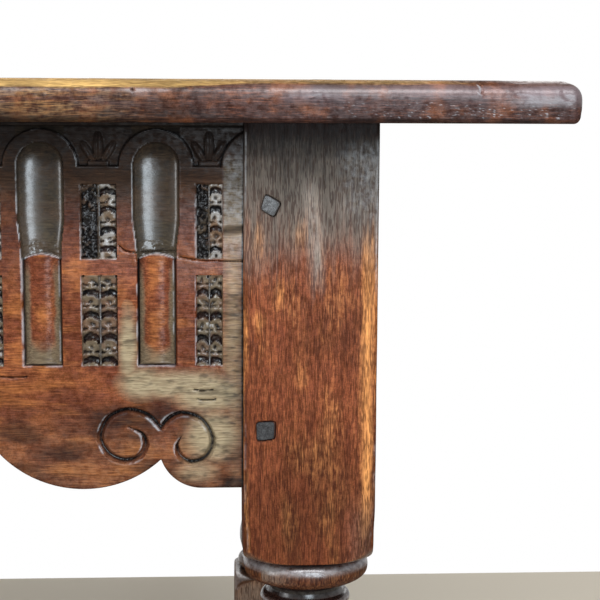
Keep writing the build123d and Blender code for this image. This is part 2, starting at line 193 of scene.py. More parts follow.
# the first arch's distance from the leg, the spacing, and the arch band's outer radius and centre
ARCH_INSET, ARCH_PITCH, ARCH_RADIUS, ARCH_SPRING = 56.0, 74.0, 23.5, 29.2
FLUTE_HALF, FLUTE_FOOT_HALF, FLUTE_DEPTH, FLUTE_HEAD = 15.0, 12.9, 6.2, 28.7
# a reed: half its width, and how far down it begins and ends
STOP_HALF, STOP_TOP, STOP_FOOT = 11.2, 85.6, 157.8
# how much lower the top of a reed is at its sides than in its middle
STOP_BOW = 3.2
PANEL_EDGE = 25.4
UPPER_PANEL, LOWER_PANEL = (40.1, 89.1), (99.5, 159.5)
END_PANEL = (13.3, 30.7)
# the apron, out from the leg: a flat bracket, a cusp, a lobe and a long straight middle
BRACKET_FLAT, EASE_RADIUS, MIDDLE_DOWN = 27.0, 40.0, 200.0
CUSP, LOBE = (54.1, 222.4), (104.7, 167.5)


def apron_edge(out):
    """How far down the sawn edge is, for a distance out from the leg."""
    lobe_out, lobe_down = LOBE
    rise, run = RAIL_HEIGHT - CUSP[1], CUSP[0] - BRACKET_FLAT
    bracket = (run ** 2 + rise ** 2) / (2 * rise)
    lobe = math.hypot(lobe_out - CUSP[0], CUSP[1] - lobe_down)
    ease_down = MIDDLE_DOWN + EASE_RADIUS
    ease_out = lobe_out + math.sqrt((lobe + EASE_RADIUS) ** 2 - (ease_down - lobe_down) ** 2)
    join = lobe_out + lobe / (lobe + EASE_RADIUS) * (ease_out - lobe_out)

    def arc(radius, centre):
        """Height of a circle above its middle, at each place out from the leg."""
        return np.sqrt(np.clip(radius ** 2 - (out - centre) ** 2, 0, None))

    return np.select(
        [out < BRACKET_FLAT, out < CUSP[0], out < join, out < ease_out],
        [RAIL_HEIGHT, RAIL_HEIGHT - bracket + arc(bracket, BRACKET_FLAT), lobe_down + arc(lobe, lobe_out),
         ease_down - arc(EASE_RADIUS, ease_out)], MIDDLE_DOWN)


print("clear lengths", LONG_CLEAR, SHORT_CLEAR)
print("apron at bracket, cusp, lobe and middle", apron_edge(np.array([10, CUSP[0], LOBE[0], 250])).round(1))

# %% [markdown]
# The carving is a height map: for each spot on the rail it says how deep the gouge went. That is how the
# carver worked too, straight down from a flat face. Arches repeat, so each spot only needs its distance
# from the nearest arch. A flute is a steep-sided hollow with a round head, and the reed in it is a low dome
# between two narrow grooves.

# %% Arches, flutes and reeds
REED_CROWN, REED_DOME, GROOVE_DEPTH, GROUND_BELOW_REED = 1.0, 3.1, 5.4, 3.3


def arch_layout(x, clear):
    """Distance from the nearest arch, and distance from and half width of the nearest panel."""
    run = clear - 2 * ARCH_INSET
    gaps = round(run / ARCH_PITCH)
    pitch = run / gaps
    place = (x + run / 2) / pitch
    arch = (place - np.clip(np.round(place), 0, gaps)) * pitch
    out = clear / 2 - np.abs(x)
    at_end = out < ARCH_INSET
    middle = (END_PANEL[0] + END_PANEL[1]) / 2
    panel = np.where(at_end, out - middle, (place - np.floor(place) - 0.5) * pitch)
    half = np.where(at_end, END_PANEL[1] - middle, pitch / 2 - PANEL_EDGE)
    return arch, panel, half


def flute(arch, down):
    """Depth of the hollow above and of the reed below."""
    side = np.abs(arch)
    half = FLUTE_HALF + (FLUTE_FOOT_HALF - FLUTE_HALF) * ramp(60, STOP_TOP, down)
    reach = np.where(down < FLUTE_HEAD, np.hypot(arch, down - FLUTE_HEAD), side) / half
    hollow = FLUTE_DEPTH * (1 - np.clip(reach, 0, 1) ** 2.5) ** 0.42
    reed = REED_CROWN + REED_DOME * np.clip(side / STOP_HALF, 0, 1) ** 2.3
    groove = GROOVE_DEPTH * (1 - ramp(STOP_HALF + 0.8, FLUTE_FOOT_HALF, side))
    lower = np.where(side < STOP_HALF, reed, groove)
    lower = np.where(down > STOP_FOOT, np.minimum(GROUND_BELOW_REED, groove), lower)
    lower = lower * (1 - ramp(STOP_FOOT + 1.1, STOP_FOOT + 1.9, down))
    cap = down - STOP_TOP - STOP_BOW * (side / STOP_HALF) ** 2
    stopped = ramp(-0.4, 0.4, cap)
    return hollow * (1 - stopped) + lower * stopped, stopped


sample = np.linspace(0, STOP_FOOT, 200)
print("a flute is", flute(0 * sample, sample)[0].max().round(2), "mm deep")

# %% [markdown]
# The sunk panels hold two columns of scales. A scale is a small tongue that is proud just under its rounded
# upper edge and dips until the next one's edge, with a pit and a level nick from the corner of a gouge. No
# two are alike, so a slow noise moves the pits about. The upper panels have one column of smaller scales
# beside a column of punched dots. One column at a time, a scale's whole shape follows from how far down its
# column a point is.

# %% Panels and scales
LOWER_SCALE, UPPER_SCALE = 14.7, 12.4
PANEL_GROUND, RIDGE_DEPTH = 4.2, 1.2


def scales(across, down, top, pitch, stray):
    """Depth below the panel's edge; across runs from -1 to 1 over one column, stray moves the nicks about."""
    bow = 0.26 * (1 - np.sqrt(1 - 0.94 * across ** 2))
    along = (down - top) / pitch - bow
    part = along - np.floor(along)
    depth = 0.8 + 1.2 * part + 2.5 * ramp(0.68, 0.84, part) + 0.9 * across ** 4 - 0.7 * ramp(0.22, 0.05, part)
    pit = ((across - 1.5 * stray) / (0.3 + 0.5 * np.abs(stray))) ** 2 + ((part - 0.33) / 0.1) ** 2
    level = part + bow
    nick = bell(level, 0.53, 0.055) * ramp(0.1, 0.45, np.abs(across + stray))
    return depth + 1.7 * np.exp(-pit ** 1.5) + 1.5 * nick - 0.5 * bell(level, 0.63, 0.06)


def dotted_side(x, panel, half):
    """Which column of an upper panel is punched with dots."""
    return np.where(half < 10, panel > 0, panel * np.sign(x + 0.01) < 0)


def dots(x, down, seed):
    """A ground roughened with a blunt punch."""
    bumps, heaps = cloud(x, down, 1.6, seed, 2), cloud(x, down, 7, seed + 1)
    return 2.2 + 1.5 * ramp(0.35, 0.65, bumps) - 1.5 * ramp(0.45, 0.75, heaps)


def sunk_panels(x, down, panel, half, seed):
    """Depth of both rows of panels, with a low ridge between their two columns."""
    inside = half - np.abs(panel)
    column = (np.abs(panel) - 0.5 * half) / (0.44 * half)
    in_column = np.abs(column) < 1
    ridge = ramp(1.0, 0.5, np.abs(panel))
    wobble = 3.4 * (cloud(x, down, 8, seed) - 0.5) + 1.6 * (cloud(x, down, 3, seed + 2) - 0.5)
    column = column + 0.5 * (cloud(x, down, 6, seed + 5) - 0.5)
    stray = cloud(x, down, 9, seed + 9) - 0.5
    shift = 1.6 * np.sign(panel) * (cloud(x * 0, down, 17, seed + 3) - 0.5)

    low = scales(np.clip(column, -1, 1), down + wobble + shift, LOWER_PANEL[0] - 1.5, LOWER_SCALE, stray)
    high = scales(np.clip(column, -1, 1), down + wobble, UPPER_PANEL[0] + 6.1, UPPER_SCALE, stray)
    low, high = np.where(in_column, low, PANEL_GROUND), np.where(in_column, high, PANEL_GROUND)
    high = np.where(dotted_side(x, panel, half), dots(x, down, seed), high)
    rough = 1.3 * (cloud(x, down, 2.4, seed + 4, 2) - 0.5)

    result = np.zeros_like(down)
    for (top, foot), relief in ((UPPER_PANEL, high), (LOWER_PANEL, low)):
        wall = np.minimum(inside, np.minimum(down - top, foot - down))
        relief = (relief + rough) * (1 - ridge) + RIDGE_DEPTH * ridge
        result = np.maximum(result, ramp(0.0, 0.9, wall) * relief)
    return result


print("scales", LOWER_SCALE, "mm apart in the lower panels and", UPPER_SCALE, "in the upper ones")

# %% [markdown]
# Above the panels, where two arches curve away from each other, a three-cornered piece of ground is sunk
# and a leaf is left standing in it. Each lobe of the leaf is a soft oval mound with a vein along it. The
# same mounds could be modelled as separate petals, but as part of the height map they join the ground
# without a seam.

# %% Leaves between the arches
# each lobe's shift across, middle, half width, half height and lean
LEAF_LOBES = ((0, 16.5, 3.4, 9.5, 0), (-6.6, 20, 2.9, 7, -0.55), (6.6, 20, 2.9, 7, 0.55))
LOBE_RELIEF, VEIN_DEPTH, LEAF_FOOT_RELIEF = 2.4, 0.7, 1.9


def spandrels(x, down, arch, panel, clear):
    """The sunk corners between the arches, each with a leaf."""
    out = clear / 2 - np.abs(x)
    from_arch = np.hypot(arch, np.minimum(down - ARCH_SPRING, 0)) - ARCH_RADIUS
    end_arch = np.hypot(out + ARCH_RADIUS - END_PANEL[0], down - ARCH_SPRING) - ARCH_RADIUS
    wall = np.minimum(np.minimum(from_arch, end_arch), np.minimum(down - 3, ARCH_SPRING + 0.4 - down))
    leaf = np.zeros_like(down)
    for shift, middle, wide, tall, lean in LEAF_LOBES:
        across = panel - shift - (middle - down) * lean
        lobe = 1 - (across / wide) ** 2 - ((down - middle) / tall) ** 2
        vein = VEIN_DEPTH * bell(across, 0, 0.6)
        leaf = np.maximum(leaf, LOBE_RELIEF * np.sqrt(np.clip(lobe, 0, 1)) - vein * (lobe > 0))
    foot = ramp(7.2, 6.2, np.abs(panel)) * ramp(25.5, 26.3, down)
    leaf = np.maximum(leaf, LEAF_FOOT_RELIEF * foot)
    return ramp(0, 0.9, wall) * (PANEL_GROUND - leaf)


print("a leaf has", len(LEAF_LOBES), "lobes")

# %% [markdown]
# Scrolls and cracks are lines, so they are cut along a path: the helper rounds a few points into a smooth
# curve and finds how far each spot is from it. A scroll is a V-shaped cut that thins to nothing at its
# inner end. Cracks, scars and worn spots are put where this old table has them, at the right end of its
# front rail.

# %% Scroll cuts and cracks
LEFT_SCROLL = ((54.3, 200.6), (62.5, 192.4), (75.8, 188.6), (88.0, 193.8), (93.6, 206.2), (89.0, 217.4),
               (78.8, 222.6), (68.9, 220.4), (64.3, 213.0), (66.6, 204.6), (75.0, 200.2))
RIGHT_SCROLL = ((54.3, 200.6), (47.5, 193.6), (38.6, 191.2), (26.6, 196.2), (20.2, 209.0), (24.0, 220.2),
                (33.4, 224.2), (41.0, 220.6), (43.6, 213.4), (40.6, 206.4))
CRACKS = (((80, 80.5), (74, 84.3), (60, 84.9), (44, 84.4)), ((41, 87.5), (30, 89.6), (14, 90.4), (0, 90.8)),
          ((160, 166.0), (150, 166.6), (141, 166.2)), ((32, 175.2), (27, 176.2), (20, 175.4)),
          ((30, 181.8), (24, 182.6), (18, 181.9)))
# a spot out of any crack's reach
FAR_AWAY = -1e3
SCROLL_CUT, CRACK_CUT = 4.2, 1.7


def smooth_path(points, steps=14):
    """A curve through the points."""
    points = np.array(points, float)
    padded = np.concatenate([2 * points[:1] - points[1:2], points, 2 * points[-1:] - points[-2:-1]])
    t = np.linspace(0, 1, steps, endpoint=False)[:, None]
    curve = []
    for a, b, c, d in zip(padded, padded[1:], padded[2:], padded[3:]):
        curve.append(b + 0.5 * t * (c - a + t * (2 * a - 5 * b + 4 * c - d + t * (3 * (b - c) + d - a))))
    return np.concatenate(curve + [points[-1:]])


def near_path(u, v, points, reach):
    """For the spots near a path: which they are, how far from it, and how far along it from 0 to 1."""
    path = smooth_path(points)
    low, high = path.min(0) - reach, path.max(0) + reach
    rows, columns = np.nonzero((u > low[0]) & (u < high[0]) & (v > low[1]) & (v < high[1]))
    if not len(rows):
        return rows, columns, np.zeros(0), np.zeros(0)
    away = np.hypot(u[rows, columns, None] - path[:, 0], v[rows, columns, None] - path[:, 1])
    return rows, columns, away.min(-1), away.argmin(-1) / (len(path) - 1)


def cut_scrolls(depth, out, down):
    """Deepen the height map along both scrolls; each cut thins out toward its inner end."""
    for points in (LEFT_SCROLL, RIGHT_SCROLL):
        rows, columns, away, along = near_path(out, down, points, 5)
        half = 0.5 + 2.1 * ramp(1.0, 0.8, along) * (0.72 + 0.28 * ramp(0.1, 0.6, along))
        cut = SCROLL_CUT * (1 - np.clip(away / half, 0, 1) ** 1.6) * (0.35 + 0.65 * ramp(1.0, 0.82, along))
        depth[rows, columns] = np.maximum(depth[rows, columns], cut)


def cut_cracks(depth, out, down):
    """Open the cracks, a little wider in some places than in others."""
    for points in CRACKS:
        rows, columns, away, _ = near_path(out, down, points, 2)
        width = 0.4 + 0.35 * cloud(out[rows, columns], down[rows, columns], 6, 5)
        depth[rows, columns] += CRACK_CUT * bell(away, 0, width)


flat = np.zeros((3, 3))
cut_scrolls(flat, np.full((3, 3), LEFT_SCROLL[2][0]), np.full((3, 3), LEFT_SCROLL[2][1]))
print("deepest scroll cut", flat.max().round(2))

# %% [markdown]
# Colour on an old carved rail follows its shape. Soot and polish settle in the cuts, which also get painted
# shade, and the arrises that face the lights get painted highlights. Comparing the height map with a blurred
# copy of itself finds both: where the surface is lower than its surroundings it is a hollow, and where it is
# higher it is an arris. So the first step names the places: for every spot, which part of the carving it lies
# on.

# %% Which part of the carving each spot lies on
FLAT_DEPTH = 0.7


def soften(field, reach):
    """The field averaged over a few rows and columns."""
    for axis in (0, 1):
        padded = np.pad(field, [(reach + 1, reach) if a == axis else (0, 0) for a in (0, 1)], mode="edge")
        total = np.cumsum(padded, axis=axis)
        span = field.shape[axis]
        ahead = np.take(total, range(2 * reach + 1, 2 * reach + 1 + span), axis=axis)
        field = (ahead - np.take(total, range(span), axis=axis)) / (2 * reach + 1)
    return field


def rail_spots(x, down, depth, arch, panel, half, stopped, out, seed):
    """What the paint needs to know of each spot. Masks run from 0 to 1."""
    at = SimpleNamespace(x=x, down=down, depth=depth, arch=arch, out=out, seed=seed)
    at.sunk, at.sunk_wide = depth - soften(depth, 2), depth - soften(depth, 6)
    at.facing = np.gradient(depth, axis=1) - 0.3 * np.gradient(depth, axis=0)
    at.patches = cloud(x, down, (26, 12), seed + 1)
    at.side = np.abs(arch) / STOP_HALF
    at.flat = depth < FLAT_DEPTH
    at.right = x > 0

    within_flute = ramp(FLUTE_HALF + 1, FLUTE_HALF, np.abs(arch)) * (1 - stopped) * (down < STOP_FOOT)
    at.in_flute = ramp(0.6, 2.0, depth) * within_flute
    at.on_reed = stopped * (np.abs(arch) < STOP_HALF + 0.3) * (down < STOP_FOOT + 1)

    at.in_panel = np.zeros(down.shape, bool)
    for top, foot in (UPPER_PANEL, LOWER_PANEL):
        at.in_panel |= (half - np.abs(panel) > 0.3) & (down > top + 0.3) & (down < foot - 0.3)
    upper = at.in_panel * (down < UPPER_PANEL[1])
    dotted = dotted_side(x, panel, half)
    at.on_dots = upper * dotted
    at.on_small_scales = upper * (1 - dotted) * ramp(0.8, 1.6, np.abs(panel))
    at.on_ridge = at.in_panel * (np.abs(panel) < 0.9)
    at.panel_patches = cloud(x, down, 7, seed + 8)
    return at


print("places named on a rail: flute, reed, panels, dots, small scales, ridge")

# %% [markdown]
# The right end of the front rail is the part that has seen most: damp left olive patches beside the leg,
# the stile that ends the arcade has gone grey, and a blow has left a grimy scar across it. Those marks are
# drawn once here, as masks that are empty on the other rails.

# %% The marks at the rail's right end
# patches of olive haze: out from the leg, down, their half width and half height, and their strength
HAZE_PATCHES = ((75, 147, 6, 24, 0.9), (66, 171, 15, 10, 0.85), (42, 172, 27, 9, 1.0), (24, 178, 24, 13, 1.0),
                (20, 206, 18, 20, 0.85), (30, 229, 16, 9, 0.6), (6, 150, 7, 90, 0.5), (131, 150, 9, 8, 0.4))
HAZE_TOP = 66
SCAR_DOWN = 69


def corner_marks(at, show_corner):
    """Olive patches, the grey stile and the scar; all are nothing unless show_corner."""
    olive = np.zeros_like(at.down)
    if not show_corner:
        return olive, olive, olive
    for out, down, wide, tall, strength in HAZE_PATCHES:
        away = ((at.out - out) / wide) ** 2 + ((at.down - down) / tall) ** 2
        olive = np.maximum(olive, strength * np.exp(-away ** 1.5))
    olive = np.where(at.down > HAZE_TOP, olive, 0) * at.right
    stile = ramp(14, 11.5, at.out) * ramp(14, 30, at.down) * ramp(96, 70, at.down) * at.right
    scar = bell(at.down, SCAR_DOWN + 0.15 * at.out, 4.6) * ramp(14.5, 12, at.out) * at.right
    return olive, stile, scar


print("olive patches", len(HAZE_PATCHES))

# %% [markdown]
# Now the paint itself, one mask after the other. The soot mask is darkest under the table top and in every
# cut: soot where candle smoke gathers and no cloth reaches, and painted shade from the top and in the cuts.
# Haze is wax that has gone dull and olive: it fills the flutes, the sides and feet of the reeds, and the damp
# corner.

# %% Soot, painted shade and haze on a rail
# soot and painted shade under the table top: distances down the rail, and how dark it is there
SOOT_AND_SHADE_FADE = ((0, 18, 30, 45, 62, 80, 100), (0.98, 0.95, 0.88, 0.76, 0.6, 0.26, 0.0))
FLUTE_SOOT = ((28, 40, 70, 84), (0.93, 0.86, 0.82, 0.80))
RIDGE_SOOT, SCAR_SOOT, REED_OLIVE_SOOT = 0.86, 0.86, 0.64


def soot_and_shade_on_carving(at):
    """Soot and painted shade, black under the top and in the cuts, each part holding its own share."""
    # soot under the top, which is also painted shade from the top's overhang
    soot = np.interp(at.down + 16 * (at.patches - 0.5), *SOOT_AND_SHADE_FADE)
    # darker in every cut: soot, and painted shade in the recesses
    soot = most(soot, 0.9 * ramp(0.15, 1.0, at.sunk) + 0.4 * ramp(0.4, 2.2, at.sunk_wide))
    soot = np.where(at.in_flute > 0.5, np.interp(at.down, *FLUTE_SOOT) + 0.24 * (at.patches - 0.5), soot)
    soot = np.where(at.on_reed > 0.5, 0.9 * ramp(0.94, 1.06, at.side), soot)
    # among the scales, darker the deeper they go: soot, and painted shade in the undercuts
    among_scales = 0.5 + 0.43 * ramp(1.4, 3.2, at.depth) + 0.3 * at.on_dots + 0.4 * (at.panel_patches - 0.45)
    soot = np.where(at.in_panel, among_scales, soot)
    soot = np.where(at.on_ridge, RIDGE_SOOT, soot)
    # a dark line at the joint with the leg, and painted shade on the rail beside the leg
    return most(soot, ramp(1.6, 0.3, at.out) + 0.5 * ramp(8, 1, at.out) * ramp(30, 130, at.down))


def dirt_on_flat(at, olive, show_corner):
    """Thin grey dirt low on the apron, and grit in the olive patches."""
    apron_patches = cloud(at.x, at.down, (30, 12), at.seed + 2)
    grit = ramp(0.5, 0.8, cloud(at.x, at.down, (7, 2.2), at.seed + 10))
    dirt = 0.2 * ramp(160, 200, at.down) + 0.5 * ramp(0.42, 0.75, apron_patches) * ramp(165, 195, at.down)
    if show_corner:
        in_olive = ramp(0.1, 0.5, olive)
        beside_leg = 0.2 * ramp(15, 10, at.out) * ramp(100, 120, at.down)
        dirt = dirt * (1 - 0.9 * in_olive) + 0.42 * grit * in_olive + beside_leg
    return dirt + 0.12 * grit * at.flat


def haze_on_flat(at, olive, show_corner):
    """Dull wax in broad patches, and the olive patches of the right corner."""
    low_haze = 0.1 * ramp(180, 215, at.down)
    haze = most(0.7 * ramp(0.58, 0.74, cloud(at.x, at.down, 55, at.seed)), low_haze)
    if show_corner:
        haze = np.where(at.right, most(haze * ramp(200, 260, at.out), low_haze), haze)
        mottled = np.clip(olive * 1.3 + 0.6 * (at.patches - 0.5), 0, 1)
        haze = most(haze, mottled * (olive > 0.08))
    return haze


print("soot fades out", SOOT_AND_SHADE_FADE[0][-1], "mm below the top")

# %% [markdown]
# Some of these layers hide others: the sides of a reed are olive rather than black, and in the panels the
# haze lies only on the tops of the scales. So one function puts soot, painted shade and haze together in the
# right order.

# %% Soot, painted shade and haze together
def olive_on_reed(at):
    """The sides and the foot of a reed, where no hand rubs the wax away."""
    ragged = 0.3 * (at.patches - 0.5)
    sides = ramp(0.6, 0.9, at.side + ragged + 0.15 * ramp(138, 159, at.down)) * ramp(88, 108, at.down)
    foot = ramp(143, 156, at.down + 8 * at.side ** 2 + 16 * (at.patches - 0.5))
    return np.clip(most(0.8 * sides, 0.8 * foot), 0, 0.8)


def soot_shade_and_haze(at, olive, stile, scar, show_corner):
    """Both masks together, because each hides part of the other; the soot also holds painted shade."""
    soot, haze = soot_and_shade_on_carving(at), haze_on_flat(at, olive, show_corner)
    soot = most(soot, SCAR_SOOT * scar)
    haze, soot = most(haze, 0.75 * stile), soot * (1 - 0.08 * stile * (at.sunk < 0.2))
    soot = most(soot, dirt_on_flat(at, olive, show_corner))

    reed = olive_on_reed(at)
    # painted shade down the left side of each reed, the side turned away from the right window
    shaded_left_of_reed = at.on_reed * 0.6 * ramp(-0.72, -1.0, at.arch / STOP_HALF)
    soot = most(soot, shaded_left_of_reed, REED_OLIVE_SOOT * at.on_reed * reed)
    haze = most(haze * (1 - at.on_reed), at.on_reed * reed)
    haze = most(haze, at.in_flute * (0.55 + 0.35 * ramp(0.4, 0.7, at.patches)), 0.3 * ramp(60, 38, at.down))
    on_scales = 0.35 + 0.3 * at.on_small_scales + 0.45 * ramp(0.3, 0.6, at.panel_patches)
    on_scales = on_scales * ramp(4.6, 2.4, at.depth) * (1 - 0.25 * at.on_small_scales)
    return soot, np.where(at.in_panel, on_scales, haze)


print("soot on a reed's olive sides", REED_OLIVE_SOOT)

# %% [markdown]
# The other three masks. Wear brightens the flat wood below the arches, where hands and cloths rub. Pale is
# mostly painted highlight: a thin light line on each arris that faces the lights, along the top end of each
# reed and on the tips of the small scales, and it is left off where the scar is. Gloss is polished wax: a
# cloth reaches the open hollow of a flute best, and the proud tips of the scales.

# %% Wear, painted highlights and gloss on a rail
def wear_on_rail(at):
    """Bright patches on the flat wood, on the apron and down the middle of the reeds."""
    flat_wood = 0.46 * ramp(0.45, 0.8, at.patches) * ramp(75, 105, at.down) * at.flat * (1 - at.in_panel)
    apron_patches = ramp(0.4, 0.7, cloud(at.x, at.down, (40, 16), at.seed + 12))
    apron = 0.5 * apron_patches * ramp(158, 170, at.down) * ramp(215, 195, at.down) * ramp(110, 150, at.out)
    reed_patches = ramp(0.4, 0.7, cloud(at.x, at.down, 14, at.seed + 6))
    return most(flat_wood, apron, at.on_reed * 0.4 * ramp(0.75, 0.2, at.side) * reed_patches)


def highlights_and_light_lines(at, stile, show_corner):
    """Painted highlights on arrises facing the lights, reed tops and small scale tips; light grey on the
    stile.
    """
    broken = ramp(0.3, 0.55, cloud(at.x, at.down, (9, 9), at.seed + 3))
    # painted highlight on each arris that faces the right window and the light above
    pale = ramp(-0.16, -0.5, at.sunk) * np.clip(0.05 + 1.0 * at.facing, 0, 1) * broken
    between_arches = ramp(PANEL_EDGE - 2, PANEL_EDGE + 2, np.abs(at.arch)) * (at.down < 34)
    pale = pale * 0.6 * (0.3 + 0.7 * ramp(20, 34, at.down)) * (1 - 0.7 * between_arches)
    # painted highlight along the top end of each reed, which faces up to the light
    reed_end_highlight = at.on_reed * ramp(0.8, 0.1, at.down - STOP_TOP - STOP_BOW * at.side ** 2) * 0.7
    pale = most(pale, 0.1 * stile, reed_end_highlight)
    # painted glints on the tips of the small scales
    tips = at.on_small_scales * ramp(2.4, 1.3, at.depth) * ramp(0.35, 0.55, at.panel_patches)
    pale = most(pale * (1 - 0.6 * at.in_panel), 0.36 * tips)
    if show_corner:
        pale = pale * (1 - 0.85 * bell(at.down, SCAR_DOWN + 1, 6) * ramp(14.5, 12, at.out) * at.right)
    return pale


def gloss_on_rail(at):
    """Polished wax in the flutes, on the scales and reeds, in the scroll cuts, and a little on flat wood."""
    across = at.arch / FLUTE_HALF
    polished = 0.35 + 0.9 * bell(across, -0.36, 0.34) + 0.6 * bell(across, 0.85, 0.2)
    panels = at.in_panel * (0.75 - 0.45 * at.on_dots) + 0.25 * at.on_small_scales
    scrolls = 0.5 * ramp(0.2, 1.5, at.sunk_wide) * (at.down > 170)
    gloss = most(at.in_flute * polished * ramp(18, 32, at.down), panels, 0.12 * at.on_reed, scrolls)
    below_arches = 0.1 * ramp(60, 100, at.down) + 0.28 * ramp(34, 60, at.down) * ramp(120, 90, at.down)
    return gloss + at.flat * below_arches + 0.07 * ramp(38, 28, at.down) * (1 - at.in_flute)


def paint_rail(at, show_corner):
    """All five masks of a rail's carved face."""
    olive, stile, scar = corner_marks(at, show_corner)
    soot, haze = soot_shade_and_haze(at, olive, stile, scar, show_corner)
    pale = highlights_and_light_lines(at, stile, show_corner)
    return {"wear": wear_on_rail(at), "soot": soot, "bloom": haze, "pale": pale, "gloss": gloss_on_rail(at)}


print("paint masks", MASKS)

# %% [markdown]
# A rail is a plank with that height map as its face. Rows follow the carving down to the plain apron, and
# from there they are drawn down to the sawn edge, so the edge stays crisp. The tenons at its ends sit
# inside the legs. The right end of the front rail gets the finest points, because that is where one looks
# closest. A few helpers come first, because the legs, stretchers and boards need them too.

# %% Helpers for long pieces
TENON_FROM_FACE, TENON_THICKNESS = 14.0, 10.0
# for each side: how far it is turned, the clear length between its legs, and the legs' outer face
SIDES = {"front": (0, LONG_CLEAR, -leg_low[1]), "right": (90, SHORT_CLEAR, leg_high[0]),
         "back": (180, LONG_CLEAR, -leg_low[1]), "left": (-90, SHORT_CLEAR, leg_high[0])}
# the six sides of a box, wound like the faces of the rails and stretchers
BOX_QUADS = np.array([(0, 2, 3, 1), (4, 5, 7, 6), (0, 1, 5, 4), (2, 6, 7, 3), (0, 4, 6, 2), (1, 3, 7, 5)])


def spaced(*runs):
    """Places along a line, from (start, stop, step) runs that follow each other."""
    parts = [np.linspace(start, stop, max(1, round((stop - start) / step)), endpoint=False)
             for start, stop, step in runs]
    return np.concatenate(parts + [[runs[-1][1]]])


def turned(points, degrees):
    """Points turned about the upright axis, so that one drawing serves all four sides."""
    turn = math.radians(degrees)
    matrix = np.array([[math.cos(turn), -math.sin(turn), 0], [math.sin(turn), math.cos(turn), 0], [0, 0, 1]])
    return points @ matrix.T


def end_rims(rows, count, start=0):
    """The outlines of both ends of a piece made of rows of count points, wound to face outward."""
    last = start + (rows - 1) * count
    return [start + np.arange(count)[::-1], last + np.arange(count)]


def add_tenons(points, quads, half, near_face, spans):
    """A box at both ends for each (foot, top) height in spans, added to lists of points and faces."""
    for end in (-1, 1):
        for foot, top in spans:
            near_end, far_end = sorted((end * half, end * (half + TENON_LENGTH)))
            far_face = near_face + TENON_THICKNESS
            quads.append(BOX_QUADS + sum(len(part) for part in points))
            points.append(np.array([(x, y, z) for x in (near_end, far_end) for y in (near_face, far_face)
                                    for z in (foot, top)]))


def paint_for(points, paint):
    """Masks for every point of a piece; the painted points come first and hidden ones stay bare."""
    total = sum(len(part) for part in points)
    padded = {}
    for mask, values in paint.items():
        padded[mask] = np.concatenate([values.ravel(), np.zeros(total - values.size)])
    return padded


print("sides", list(SIDES))

# %% [markdown]
# Now a rail is put together: the grid of its face, the height map with every cut, the sawn edge with its
# rounded arris, then the plain back, the tenons and the paint. All four rails are made by the same
# function, from their length and a seed of their own, so they share the pattern and differ in every small
# flaw.

# %% The carved face of a rail
# the distance between points near the right front corner and elsewhere, and how far the fine ones run
FINE, COARSE, FINE_RUN = 0.62, 1.3, 175
APRON_TOP, APRON_SPAN = 162.0, 80
# the rounding of the sawn edge, and how far above the edge its rows of points are
ARRIS_ROUND = 1.6
ARRIS_ROWS = (1.6, 1.15, 0.75, 0.4, 0.12, 0.0)
# how far down the upper and lower edges of the two tenons are
TENONS = ((24.0, 104.0), (158.0, 218.0))
SCAR_CUT, TORN_CUT = 1.3, 0.5


def rail_grid(half, show_corner):
    """The columns across, the sawn edge below each, and how far down every point is."""
    step = FINE if show_corner else COARSE
    to_corner = half - FINE_RUN
    columns = spaced((-half, half, step))
    if show_corner:
        columns = spaced((-half, to_corner, COARSE), (to_corner, half, FINE))
    edge = apron_edge(half - np.abs(columns))
    upper = spaced((0, APRON_TOP, step))[:, None] + 0 * columns
    share = np.linspace(0, 1, round(APRON_SPAN / (step * 1.25)))[:-1, None]
    apron = APRON_TOP + share * (edge - 2 * ARRIS_ROUND - APRON_TOP)
    rounding = edge - np.array(ARRIS_ROWS)[:, None]
    return columns, edge, np.concatenate([upper[:-1], apron, rounding])


def carve_rail(columns, edge, down, clear, seed, show_corner):
    """The whole height map of a rail, and what the paint needs to know of each spot."""
    x = columns + 0 * down
    out = clear / 2 - np.abs(x)
    arch, panel, panel_half = arch_layout(x, clear)
    hollow, stopped = flute(arch, down)
    hollow = np.where(down < STOP_FOOT + 2, hollow, 0)
    leaves = np.where(down < ARCH_SPRING + 0.5, spandrels(x, down, arch, panel, clear), 0)
    depth = most(hollow, sunk_panels(x, down, panel, panel_half, seed), leaves)
    cut_scrolls(depth, out, down)
    if show_corner:
        cut_cracks(depth, np.where(x > 0, out, FAR_AWAY), down)
        depth += SCAR_CUT * bell(down, SCAR_DOWN + 1 + 0.1 * out, 2.2) * ramp(14, 11, out) * (x > 0)

    slope = np.gradient(edge, columns)
    to_edge = (edge - down) / np.sqrt(1 + slope ** 2)
    depth += ARRIS_ROUND * (1 - np.sqrt(1 - np.clip(1 - to_edge / ARRIS_ROUND, 0, 1) ** 2)) * 0.8
    splinters = ramp(0.45, 0.75, cloud(x, down, (3, 1.6), seed + 7))
    torn = ramp(74, 84, down) * splinters * (hollow > 3) * (1 - stopped)
    unevenness = 0.28 * cloud(x, down, (60, 22), seed + 5) + 0.1 * cloud(x, down, (14, 1.6), seed + 6)
    depth += TORN_CUT * torn + unevenness
    return x, depth, rail_spots(x, down, depth, arch, panel, panel_half, stopped, out, seed)


print("a rail's points are", FINE, "to", COARSE, "mm apart")

